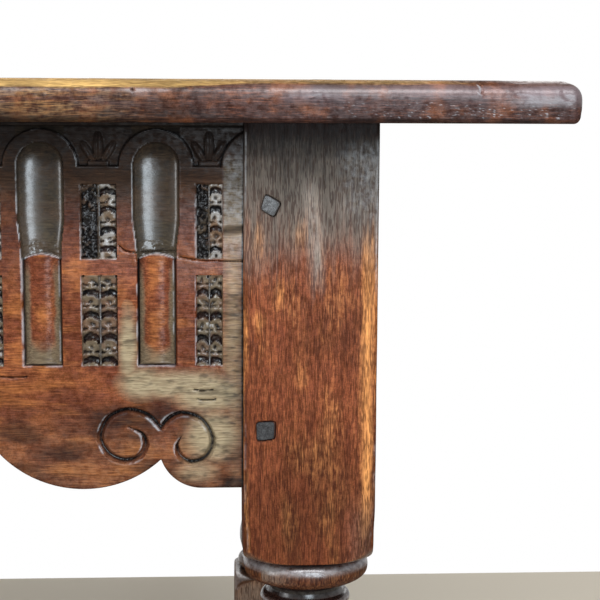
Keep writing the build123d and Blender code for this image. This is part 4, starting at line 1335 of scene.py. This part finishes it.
def paint_board(x, away, below, from_end, edge, seed, show):
    """away is from the outer edge, below is from the top face; edge marks the rounded front."""
    at = SimpleNamespace(x=x, below=below, from_end=from_end, edge=edge, seed=seed)
    place = away + below
    at.grain, at.patches = cloud(x, place, (60, 1.3), seed), cloud(x, place, (70, 9), seed + 1)
    upper_face = (1 - edge) * (below < 3)
    golden, ragged, limit = golden_line(at)
    under_line = ramp(limit, limit + 2.5, ragged)
    edge_patches = cloud(x, place, (34, 9), seed + 4)

    face_patches = ramp(0.3, 0.6, cloud(x, place, (240, 80), seed + 3))
    worn_face = (0.3 + 0.4 * face_patches) * upper_face * ramp(15, 90, from_end)
    ruddy = 0.14 * ramp(0.4, 0.62, at.patches) * ramp(240, 330, from_end) * ramp(limit, limit + 3, ragged)

    haze = 0.3 * ramp(0.5, 0.8, cloud(x, place, (140, 60), seed + 2)) * upper_face
    on_edge = 0.44 * ramp(260, 60, from_end) + 0.4 * ramp(0.45, 0.7, edge_patches)
    haze = most(haze, edge * under_line * (0.2 + 0.8 * ramp(19, 12, below)) * on_edge)

    band = ramp(limit - 0.5, limit + 1.5, ragged) * ramp(12.5, 8, ragged)
    shine = edge * band * (0.55 + 0.45 * ramp(0.3, 0.6, at.patches))
    gloss = 0.08 * edge + shine * most(ramp(250, 150, from_end), 0.25 + 0.6 * ramp(0.5, 0.62, edge_patches))
    end_polish = edge * ramp(60, 30, from_end) * (0.5 + 0.8 * at.grain) * ramp(19, 12, below)
    return {"wear": np.where(edge > 0, most(golden, ruddy), worn_face), "soot": soot_on_board(at, upper_face),
            "bloom": haze, "pale": glints_and_split_lip(at) if show else np.zeros_like(x),
            "gloss": most(gloss, end_polish)}


print("a board is painted with", ", ".join(MASKS))

# %% [markdown]
# Old boards are never flat: they dip a little between the rings of the grain, their edges have been
# knocked, and the wood has sunk along its joints. These dips push a point down on the upper face and inward
# on the rounded edge. Modelling them, rather than only painting them, lets the long highlight on the edge
# waver.

# %% Build the top boards
def board_dips(x, away, below, width, level, on_edge, seed, show):
    """How far each point has sunk through wear, shrinkage and knocks."""
    place = away + below
    sunk = 0.35 * cloud(x, away, (160, 60), seed + 6) * (away > FRONT_ROUND)
    sunk = sunk + 0.14 * cloud(x, place, (45, 1.4), seed + 7)
    pits = 0.5 * ramp(0.66, 0.8, cloud(x, place, (11, 5), seed + 8))
    sunk += 0.5 * ramp(2.5, 0, width - away) * (level == 1) + pits
    sunk += on_edge * 0.4 * cloud(x, place * 0, (110, 9), seed + 9)
    if show:
        split = bell(from_split(x, below), 0, 0.7) * ramp(10.5, 8.5, below) * ramp(0.5, 2, below)
        dent = np.exp(-(((x - DENT_PLACE[0]) / 0.9) ** 2 + ((below - DENT_PLACE[1]) / 0.9) ** 2) ** 2)
        sunk += on_edge * SPLIT_CUT * split
        sunk += on_edge * DENT_CUT * dent
    return sunk


def build_board(name, seed, side):
    """side is -1 for the front board, 1 for the back one and 0 for the middle one."""
    low, high = node_box(name)
    width, half = high[1] - low[1], high[0]
    outer, inward = (high[1], -1) if side > 0 else (low[1], 1)
    rounded, show = (1.0 if side else 0.0), side < 0
    x, away, level = board_grid(width, half, side, show)

    from_end = half - np.abs(x)
    end_drop = quarter(END_ROUND, ROUND_DOWN, from_end)
    end_lift = quarter(UNDER_ROUND, UNDER_ROUND, from_end)
    z_top = high[2] - joined(end_drop, rounded * quarter(FRONT_ROUND, ROUND_DOWN, away))
    z_under = low[2] + joined(end_lift, rounded * quarter(UNDER_ROUND, UNDER_ROUND, away))
    z = z_under + level * (z_top - z_under)
    below = high[2] - z
    on_edge = rounded * np.where(level > 0, ramp(16, 12, away), ramp(6, 3.5, away)) + 0 * x

    sunk = board_dips(x, away, below, width, level, on_edge, seed, show)
    facing_out = rounded * np.clip(1 - away / FRONT_ROUND, 0, 1) ** 1.5 * (level > 0)
    corner = quarter(PLAN_ROUND, PLAN_ROUND, from_end) * np.clip(1 - away / 40, 0, 1) * rounded
    y = outer + inward * (away + corner + sunk * facing_out)
    z = z - sunk * (1 - facing_out) * (level == 1)
    end_wear = 0.25 * cloud(y, z, (40, 12), seed + 10) + 1.7 * np.clip((below - 14) / 12.5, 0, 1) ** 2
    x = x - np.sign(x) * end_wear * ramp(10, 0, from_end)

    spread = np.zeros_like(y)
    paint = paint_board(x + spread, away + spread, below, from_end + spread, on_edge, seed, show)
    paint = {mask: values.ravel() for mask, values in paint.items()}
    points, quads = np.stack([x + spread, y, z], -1), grid_quads(*y.shape, wrap=True)
    return make_piece("plank_" + name, points, quads, [name], end_rims(*y.shape), paint)


BOARDS = (("top_board_front", -1), ("top_board_middle", 0), ("top_board_back", 1))
boards = [build_board(name, 500 + 20 * index, side) for index, (name, side) in enumerate(BOARDS)]

# %% [markdown]
# ## Finishes
# Shader nodes are built by small helpers, so that a formula reads as a formula: put makes a node and sets
# or links its inputs, and plus, minus and times are Math nodes. A group is made once and its sockets are
# declared on the group's interface.

# %% Small helpers for node trees
def put(tree, kind, inputs=(), **settings):
    """A new node; inputs are values or sockets to link, settings are the node's own choices."""
    node = tree.nodes.new(kind)
    for key, value in settings.items():
        setattr(node, key, value)
    for key, value in dict(inputs).items():
        if isinstance(value, bpy.types.NodeSocket):
            tree.links.new(value, node.inputs[key])
        else:
            node.inputs[key].default_value = value
    return node


def plus(tree, first, second):
    return put(tree, "ShaderNodeMath", {0: first, 1: second}, operation="ADD").outputs[0]


def minus(tree, first, second):
    return put(tree, "ShaderNodeMath", {0: first, 1: second}, operation="SUBTRACT").outputs[0]


def times(tree, first, second):
    return put(tree, "ShaderNodeMath", {0: first, 1: second}, operation="MULTIPLY").outputs[0]


def larger(tree, first, second):
    """Whichever of two values is larger at each spot."""
    return put(tree, "ShaderNodeMath", {0: first, 1: second}, operation="MAXIMUM").outputs[0]


def clamped(tree, value):
    """The value kept between 0 and 1."""
    return put(tree, "ShaderNodeClamp", {"Value": value}).outputs[0]


def blend(tree, share, first, second):
    """The first colour where share is 0 and the second where it is 1."""
    return put(tree, "ShaderNodeMix", {0: share, 6: first, 7: second}, data_type="RGBA").outputs[2]


def between(tree, value, low, high, start=0.0, stop=1.0):
    """A soft step from start to stop while the value goes from low to high."""
    limits = {"Value": value, "From Min": low, "From Max": high, "To Min": start, "To Max": stop}
    return put(tree, "ShaderNodeMapRange", limits, interpolation_type="SMOOTHSTEP").outputs[0]


def scaled(tree, vector, share):
    """A vector or a colour multiplied by one number."""
    return put(tree, "ShaderNodeVectorMath", {0: vector, "Scale": share}, operation="SCALE").outputs[0]


def noise(tree, vector, stretch, scale, detail, distortion=0.0):
    """Noise that is stretched along Z: the smaller stretch is, the longer its streaks."""
    stretched = {0: vector, 1: (1, 1, stretch)}
    moved = put(tree, "ShaderNodeVectorMath", stretched, operation="MULTIPLY").outputs[0]
    inputs = {"Vector": moved, "Scale": scale, "Detail": detail, "Distortion": distortion, "Roughness": 0.6}
    return put(tree, "ShaderNodeTexNoise", inputs).outputs[0]


def painted(tree, mask):
    """A paint mask of the piece, read where the shader is."""
    return put(tree, "ShaderNodeAttribute", attribute_name=mask, attribute_type="GEOMETRY").outputs["Fac"]


print("masks that a shader can read", MASKS)

# %% Helpers for a node group's sockets
def new_group(name, inputs, outputs):
    """A node group with sockets given as (name, kind, default), and the sockets of its own two end nodes."""
    tree = bpy.data.node_groups.new(name, "ShaderNodeTree")
    for direction, sockets in (("INPUT", inputs), ("OUTPUT", outputs)):
        for socket_name, kind, default in sockets:
            socket = tree.interface.new_socket(socket_name, in_out=direction, socket_type="NodeSocket" + kind)
            if default is not None:
                socket.default_value = default
    return tree, tree.nodes.new("NodeGroupInput").outputs, tree.nodes.new("NodeGroupOutput").inputs


def give_out(tree, result, values):
    """Link each value to the group's output of that name."""
    for socket, value in values.items():
        tree.links.new(value, result[socket])
    print(tree.name, "has", len(tree.nodes), "nodes")

# %% [markdown]
# All the wood is old oak, so its grain is one node group that every finish shares. Oak grain is long
# fibres: noise that is squeezed across and stretched along them. Three layers make the tone: broad bands
# for the growth rings, thin streaks and fine fibres. Pores are the short dark ticks one sees close up, and
# they come in clumps. The vector that goes in has the grain along Z, so a leg uses its own position and a
# rail or plank is turned first.

# %% The grain of old oak
# stretch, scale, detail and distortion of each layer of noise
GRAIN_NOISE = {"bands": (0.06, 130.0, 2.0, 0.2), "streaks": (0.06, 820.0, 3.0), "fibres": (0.1, 1500.0, 1.0),
               "ticks": (0.1, 1300.0, 1.0), "clumps": (0.09, 240.0, 2.0)}
BAND_SHARE, STREAK_SHARE, FIBRE_SHARE, CLUMP_SHARE = 0.18, 0.42, 0.4, 0.5

grain, given, result = new_group(
    "oak_grain", [("Vector", "Vector", None), ("Coarseness", "Float", 1.0)],
    [("Tone", "Float", None), ("Pores", "Float", None), ("Height", "Float", None)])
grown = scaled(grain, given["Vector"], given["Coarseness"])
layers = {name: noise(grain, grown, *values) for name, values in GRAIN_NOISE.items()}
tone = plus(grain, times(grain, layers["bands"], BAND_SHARE), times(grain, layers["streaks"], STREAK_SHARE))
tone = plus(grain, tone, times(grain, layers["fibres"], FIBRE_SHARE))
pores = plus(grain, layers["ticks"], times(grain, layers["clumps"], CLUMP_SHARE))
pores = between(grain, pores, 0.74, 0.84)
height = minus(grain, between(grain, layers["streaks"], 0.35, 0.65), pores)
give_out(grain, result, {"Tone": between(grain, tone, 0.38, 0.62), "Pores": pores, "Height": height})

# %% [markdown]
# The finish group lays the paint masks over the grain in the order in which age laid the real layers: wood,
# then rubbed wood, then grey haze, then soot, which here also carries painted shade, and last the pale mask,
# mostly painted highlights. First each mask is broken up with noise and with the grain's tone, so that no
# border is clean. Where wax is polished the grain is quieter, because the wax fills it.

# %% The finish group and its broken masks
# Pale colours the painted highlights and glints, and Soot also colours the painted shade
COLOURS = {"Dark": (0.075, 0.020, 0.009), "Body": (0.150, 0.041, 0.018), "Light": (0.27, 0.085, 0.028),
           "Rubbed": (0.42, 0.15, 0.04), "Haze": (0.29, 0.235, 0.145), "Soot": (0.007, 0.006, 0.006),
           "Pale": (0.58, 0.60, 0.63)}
HABITS = {"Contrast": 1.0, "Pore Depth": 0.6, "Sheen": 0.1, "Warmth": 0.5}
# how far noise moves each mask, and how much of that the grain adds
BREAK_UP = {"wear": (0.6, 0.6), "bloom": (0.36, 0.2), "soot": (0.3, -0.3), "pale": (0.6, 0.2),
            "gloss": (0.7, 0.2)}

finish, given, result = new_group(
    "aged_finish",
    [("Tone", "Float", 0.5), ("Pores", "Float", 0.0), ("Grain Height", "Float", 0.0)]
    + [("Place", "Vector", None)]
    + [(name, "Float", value) for name, value in HABITS.items()]
    + [(name, "Color", (*colour, 1)) for name, colour in COLOURS.items()],
    [("Color", "Color", None), ("Roughness", "Float", None), ("Height", "Float", None),
     ("Gloss", "Float", None)])
speckle = noise(finish, given["Place"], 1.0, 300.0, 4.0)
quiet = between(finish, painted(finish, "gloss"), 0.3, 0.9, 1.0, 0.35)
contrast = times(finish, given["Contrast"], quiet)
tone = plus(finish, times(finish, minus(finish, given["Tone"], 0.5), contrast), 0.5)


def broken(name, spread, along_grain):
    """A paint mask with ragged borders; where it is 0 or 1 it stays so."""
    mask = painted(finish, name)
    stir = times(finish, minus(finish, speckle, 0.5), spread)
    lift = times(finish, minus(finish, tone, 0.5), spread * along_grain)
    gate = times(finish, between(finish, mask, 0.0, 0.12), between(finish, mask, 1.0, 0.9))
    return clamped(finish, plus(finish, mask, times(finish, plus(finish, stir, lift), gate)))


ragged = {name: broken(name, *values) for name, values in BREAK_UP.items()}
print("masks broken up", list(ragged))

# %% [markdown]
# Now the layers. Bare wood runs from a dark to a body colour and on to a light one as the grain's tone
# rises, with warmer and darker patches of some centimetres and a fine dust over all. Each later layer
# covers what is under it as strongly as its mask says. The group gives colour, roughness, height and the
# amount of gloss; the shader itself stays in the material.

# %% Wear, haze, soot with painted shade, and pale with painted highlights
def shaded(colour, low, high):
    """One of the group's colours, darker or lighter with the grain."""
    return scaled(finish, given[colour], between(finish, tone, 0.0, 1.0, low, high))


wood = blend(finish, between(finish, tone, 0.0, 0.6), given["Dark"], given["Body"])
wood = blend(finish, between(finish, tone, 0.55, 1.0), wood, given["Light"])
warm = between(finish, noise(finish, given["Place"], 1.0, 48.0, 3.0), 0.48, 0.66)
wood = blend(finish, times(finish, warm, given["Warmth"]), wood, given["Light"])
broad = noise(finish, given["Place"], 1.0, 22.0, 4.0)
wood = scaled(finish, wood, between(finish, broad, 0.35, 0.65, 0.82, 1.16))
dust = plus(finish, speckle, times(finish, noise(finish, given["Place"], 1.0, 1100.0, 1.0), 0.7))
wood = scaled(finish, wood, between(finish, dust, 0.6, 1.1, 0.7, 1.3))

wood = blend(finish, times(finish, ragged["wear"], 0.9), wood, shaded("Rubbed", 0.6, 1.15))
wood = blend(finish, times(finish, ragged["bloom"], 0.9), wood, shaded("Haze", 0.8, 1.1))
open_pores = times(finish, times(finish, given["Pores"], quiet), given["Pore Depth"])
wood = blend(finish, open_pores, wood, scaled(finish, given["Dark"], 0.6))
# soot, with the painted shade that the soot mask carries
wood = blend(finish, ragged["soot"], wood, given["Soot"])
# the pale mask: mostly painted highlights and glints
wood = blend(finish, times(finish, ragged["pale"], 0.85), wood, given["Pale"])

dull = plus(finish, times(finish, ragged["bloom"], 0.1), between(finish, speckle, 0.35, 0.65, 0.3, 0.46))
clean = minus(finish, 1.0, ragged["soot"])
waxed = plus(finish, ragged["gloss"], times(finish, given["Sheen"], clean))
waxed = clamped(finish, times(finish, waxed, between(finish, speckle, 0.3, 0.6, 0.7, 1.1)))
lumps = plus(finish, given["Grain Height"], times(finish, speckle, 0.5))
give_out(finish, result, {"Color": wood, "Roughness": dull, "Height": lumps, "Gloss": waxed})

# %% [markdown]
# Each part of the table gets its own material from the two groups, because each aged differently: the
# frieze is waxed red, the legs are browner with strong upright grain, the top is the darkest and glossiest,
# and the wood inside was never waxed. Gloss goes to the shader's coat, a thin clear layer like wax, so most
# highlights come from the lights; the pale mask adds painted highlights on top. Pieces that run across the
# table get the same finish with the grain along Y.

# %% A material of old oak
BUMP_DISTANCE = 0.0004
# turns that bring a piece's own grain direction to Z
TO_UPRIGHT = {"X": (0, math.pi / 2, 0), "Y": (math.pi / 2, 0, 0), "Z": (0, 0, 0)}


def make_oak(name, along, coarseness, colours, relief, coat_roughness, **habits):
    """A material whose grain runs along one axis; colours and habits are the finish group's inputs."""
    material = bpy.data.materials.new(name)
    material.use_nodes = True
    tree = material.node_tree
    tree.nodes.clear()
    place = put(tree, "ShaderNodeTexCoord").outputs["Object"]
    upright = put(tree, "ShaderNodeMapping", {"Vector": place, "Rotation": TO_UPRIGHT[along]}).outputs[0]
    grown = put(tree, "ShaderNodeGroup", node_tree=grain)
    tree.links.new(upright, grown.inputs["Vector"])
    grown.inputs["Coarseness"].default_value = coarseness
    aged = put(tree, "ShaderNodeGroup", node_tree=finish)
    for source, target in (("Tone", "Tone"), ("Pores", "Pores"), ("Height", "Grain Height")):
        tree.links.new(grown.outputs[source], aged.inputs[target])
    tree.links.new(place, aged.inputs["Place"])
    for colour_name, colour in colours.items():
        aged.inputs[colour_name].default_value = (*colour, 1)
    for habit, value in habits.items():
        aged.inputs[habit.replace("_", " ")].default_value = value
    relief_inputs = {"Height": aged.outputs["Height"], "Strength": relief, "Distance": BUMP_DISTANCE}
    bump = put(tree, "ShaderNodeBump", relief_inputs)
    shader = put(tree, "ShaderNodeBsdfPrincipled", {
        "Base Color": aged.outputs["Color"], "Roughness": aged.outputs["Roughness"],
        "Normal": bump.outputs[0], "Coat Weight": aged.outputs["Gloss"], "Coat Roughness": coat_roughness,
        "Specular IOR Level": 0.0})
    put(tree, "ShaderNodeOutputMaterial", {"Surface": shader.outputs[0]})
    return material


print("grain directions", list(TO_UPRIGHT))

# %% [markdown]
# The materials differ only in their values. Dark, Body and Light are the wood from its darkest to its
# lightest grain, Rubbed is wood laid bare by wear, and Haze is wax gone dull. So a new finish is one more
# line of values, and a change to the groups reaches every piece at once.

# %% The finishes of this table
FRIEZE = {"Contrast": 0.45, "Pore_Depth": 0.3, "Sheen": 0.06, "Warmth": 0.6}
LEG = {"Contrast": 0.55, "Pore_Depth": 0.58, "Sheen": 0.02, "Warmth": 0.2}
TOP = {"Contrast": 0.5, "Pore_Depth": 0.3, "Sheen": 0.05, "Warmth": 0.6}
carved_colours = {"Dark": (0.064, 0.017, 0.008), "Body": (0.128, 0.035, 0.016),
                  "Light": (0.235, 0.074, 0.025)}
leg_colours = {"Dark": (0.066, 0.019, 0.010), "Body": (0.162, 0.045, 0.019), "Light": (0.240, 0.080, 0.029),
               "Rubbed": (0.82, 0.35, 0.11), "Haze": (0.215, 0.198, 0.168)}
top_colours = {"Dark": (0.028, 0.011, 0.008), "Body": (0.068, 0.027, 0.019), "Light": (0.26, 0.085, 0.030),
               "Rubbed": (0.60, 0.37, 0.13), "Haze": (0.17, 0.125, 0.135)}
stretcher_colours = {"Dark": (0.075, 0.028, 0.014), "Body": (0.16, 0.062, 0.03), "Rubbed": (0.34, 0.17, 0.07)}
peg_colours = {"Dark": (0.08, 0.078, 0.078), "Body": (0.18, 0.182, 0.186), "Light": (0.27, 0.275, 0.28)}
top_peg_colours = {"Dark": (0.045, 0.025, 0.015), "Body": (0.10, 0.055, 0.03), "Light": (0.16, 0.09, 0.05)}
inner_colours = {"Dark": (0.10, 0.06, 0.035), "Body": (0.19, 0.125, 0.075), "Light": (0.27, 0.19, 0.12)}

# each with its grain direction, coarseness, colours, relief, the wax coat's roughness, and its habits
oak_carved = make_oak("oak_carved", "X", 0.9, carved_colours, 0.42, 0.23, **FRIEZE)
oak_carved_cross = make_oak("oak_carved_cross", "Y", 0.9, carved_colours, 0.42, 0.23, **FRIEZE)
oak_leg = make_oak("oak_leg", "Z", 1.0, leg_colours, 0.6, 0.22, **LEG)
oak_top = make_oak("oak_top", "X", 1.0, top_colours, 0.45, 0.33, **TOP)
oak_stretcher = make_oak("oak_stretcher", "X", 1.0, stretcher_colours, 0.5, 0.3, **LEG)
oak_stretcher_cross = make_oak("oak_stretcher_cross", "Y", 1.0, stretcher_colours, 0.5, 0.3, **LEG)
oak_peg = make_oak("oak_peg", "Y", 2.5, peg_colours, 0.5, 0.3, Sheen=0.05)
oak_top_peg = make_oak("oak_top_peg", "Y", 2.5, top_peg_colours, 0.5, 0.3, Sheen=0.05)
oak_inner = make_oak("oak_inner", "Y", 1.0, inner_colours, 0.5, 0.4, Sheen=0.0)


def wear_finish(pieces, material):
    """Give pieces this material and no other."""
    for piece in pieces:
        piece.data.materials.clear()
        piece.data.materials.append(material)


wear_finish([rails[0], rails[2]], oak_carved)
wear_finish([rails[1], rails[3]], oak_carved_cross)
wear_finish(legs, oak_leg)
wear_finish(boards, oak_top)
wear_finish([stretchers[0], stretchers[2]], oak_stretcher)
wear_finish([stretchers[1], stretchers[3]], oak_stretcher_cross)
wear_finish(pegs, oak_peg)
# these pieces keep the solid model's own meshes
wear_finish([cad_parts["top_pegs"]], oak_top_peg)
inner_names = ("bearer_left", "bearer_right", "top_tongue_front", "top_tongue_back")
wear_finish([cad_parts[name] for name in inner_names], oak_inner)
print("materials", len(bpy.data.materials))

# %% [markdown]
# ## Floor, light and camera
# The floor is plain and pale and ends a little behind the table, with white beyond. It is a flat sheet that
# only catches the shadow, so a broad and faint change of tint is all the finish it needs.

# %% A pale floor
FLOOR_REACH, FLOOR_BACK = 4, 0.93
corners = [(-FLOOR_REACH, -FLOOR_REACH, 0), (FLOOR_REACH, -FLOOR_REACH, 0), (FLOOR_REACH, FLOOR_BACK, 0),
           (-FLOOR_REACH, FLOOR_BACK, 0)]
floor_mesh = bpy.data.meshes.new("floor")
floor_mesh.from_pydata(corners, [], [(0, 1, 2, 3)])
floor = bpy.data.objects.new("floor", floor_mesh)
bpy.context.scene.collection.objects.link(floor)
pale_floor = bpy.data.materials.new("pale_floor")
pale_floor.use_nodes = True
tree = pale_floor.node_tree
drift = put(tree, "ShaderNodeTexNoise", {"Scale": 3.0, "Detail": 2.0}).outputs[0]
tint = blend(tree, drift, (0.57, 0.50, 0.39, 1), (0.67, 0.60, 0.49, 1))
shader = tree.nodes["Principled BSDF"]
tree.links.new(tint, shader.inputs["Base Color"])
shader.inputs["Roughness"].default_value = 0.85
floor_mesh.materials.append(pale_floor)
print("the floor ends", FLOOR_BACK, "m behind the table's middle")

# %% [markdown]
# White beyond the floor must not flood the table with light. So the world is white only to the camera and
# in reflections, and everywhere else it is a weak, slightly cool fill.

# %% White surroundings
FILL_STRENGTH = 0.3
world = bpy.data.worlds.new("white_room")
bpy.context.scene.world = world
world.use_nodes = True
tree = world.node_tree
tree.nodes.clear()
rays = put(tree, "ShaderNodeLightPath").outputs
seen = larger(tree, rays["Is Camera Ray"], larger(tree, rays["Is Glossy Ray"], rays["Is Transmission Ray"]))
fill_inputs = {"Color": (0.93, 0.96, 1.0, 1), "Strength": FILL_STRENGTH}
fill = put(tree, "ShaderNodeBackground", fill_inputs).outputs[0]
white = put(tree, "ShaderNodeBackground", {"Color": (1, 1, 1, 1), "Strength": 1.0}).outputs[0]
mixed = put(tree, "ShaderNodeMixShader", {0: seen, 1: fill, 2: white}).outputs[0]
put(tree, "ShaderNodeOutputWorld", {"Surface": mixed})
print("fill light", FILL_STRENGTH)

# %% [markdown]
# A large soft light hangs overhead and two windows stand at the sides: the sides make the long highlights
# in the hollow flutes, and the overhead one makes the bright band along the top's rounded edge. The fourth
# light stands behind, so that the back of the table can be seen too.

# %% Soft lights
# each lamp's place and what it is aimed at, its width and height in metres, its watts and its colour
LAMPS = {"overhead": ((0.6, -1.7, 2.6), (0.5, -0.3, 0.6), (1.7, 1.0), 66, (0.95, 0.96, 1.0)),
         "left_window": ((-2.5, -1.7, 1.0), (0.3, -0.3, 0.6), (0.8, 1.9), 34, (0.96, 0.98, 1.0)),
         "right_window": ((1.05, -3.1, 0.95), (0.4, -0.3, 0.65), (1.0, 1.8), 74, (0.80, 0.91, 1.0)),
         "behind": ((0.5, 3.2, 2.2), (0, 0, 0.5), (3.0, 1.6), 34, (1.0, 1.0, 1.0))}

for name, (place, aim, size, power, colour) in LAMPS.items():
    lamp = bpy.data.lights.new(name, "AREA")
    lamp.shape, lamp.size, lamp.size_y = "RECTANGLE", *size
    lamp.energy, lamp.color = power, colour
    light = bpy.data.objects.new(name, lamp)
    bpy.context.scene.collection.objects.link(light)
    light.location = place
    light.rotation_euler = (Vector(aim) - light.location).to_track_quat("-Z", "Y").to_euler()
    print(name, power, "W")

# %% [markdown]
# The camera stands just above the level of the top, close to the right front corner, and looks slightly
# down. Its place is measured from the upper left corner of that leg's front, so it follows the leg if the
# leg moves.

# %% Camera
CAMERA_FROM_LEG = (-16.1, -963.18, 26.6)
# how far the camera is turned down, to the right and about its own axis, in degrees
DOWN, RIGHT, LEAN = 8.372, 3.147, 0.33
camera_data = bpy.data.cameras.new("camera")
camera_data.lens, camera_data.sensor_width = 90, 36
camera_data.clip_start, camera_data.clip_end = 0.05, 50
camera = bpy.data.objects.new("camera", camera_data)
bpy.context.scene.collection.objects.link(camera)
stand = np.array([leg_low[0], leg_low[1], LEG_TOP]) + CAMERA_FROM_LEG
turn = Matrix.Rotation(-math.radians(RIGHT), 4, "Z") @ Matrix.Rotation(math.radians(90 - DOWN), 4, "X")
camera.matrix_world = Matrix.Translation(stand * MM) @ turn @ Matrix.Rotation(math.radians(LEAN), 4, "Z")
bpy.context.scene.camera = camera
bpy.context.scene.view_settings.view_transform = "Standard"
print("camera at", [round(value, 3) for value in camera.location])
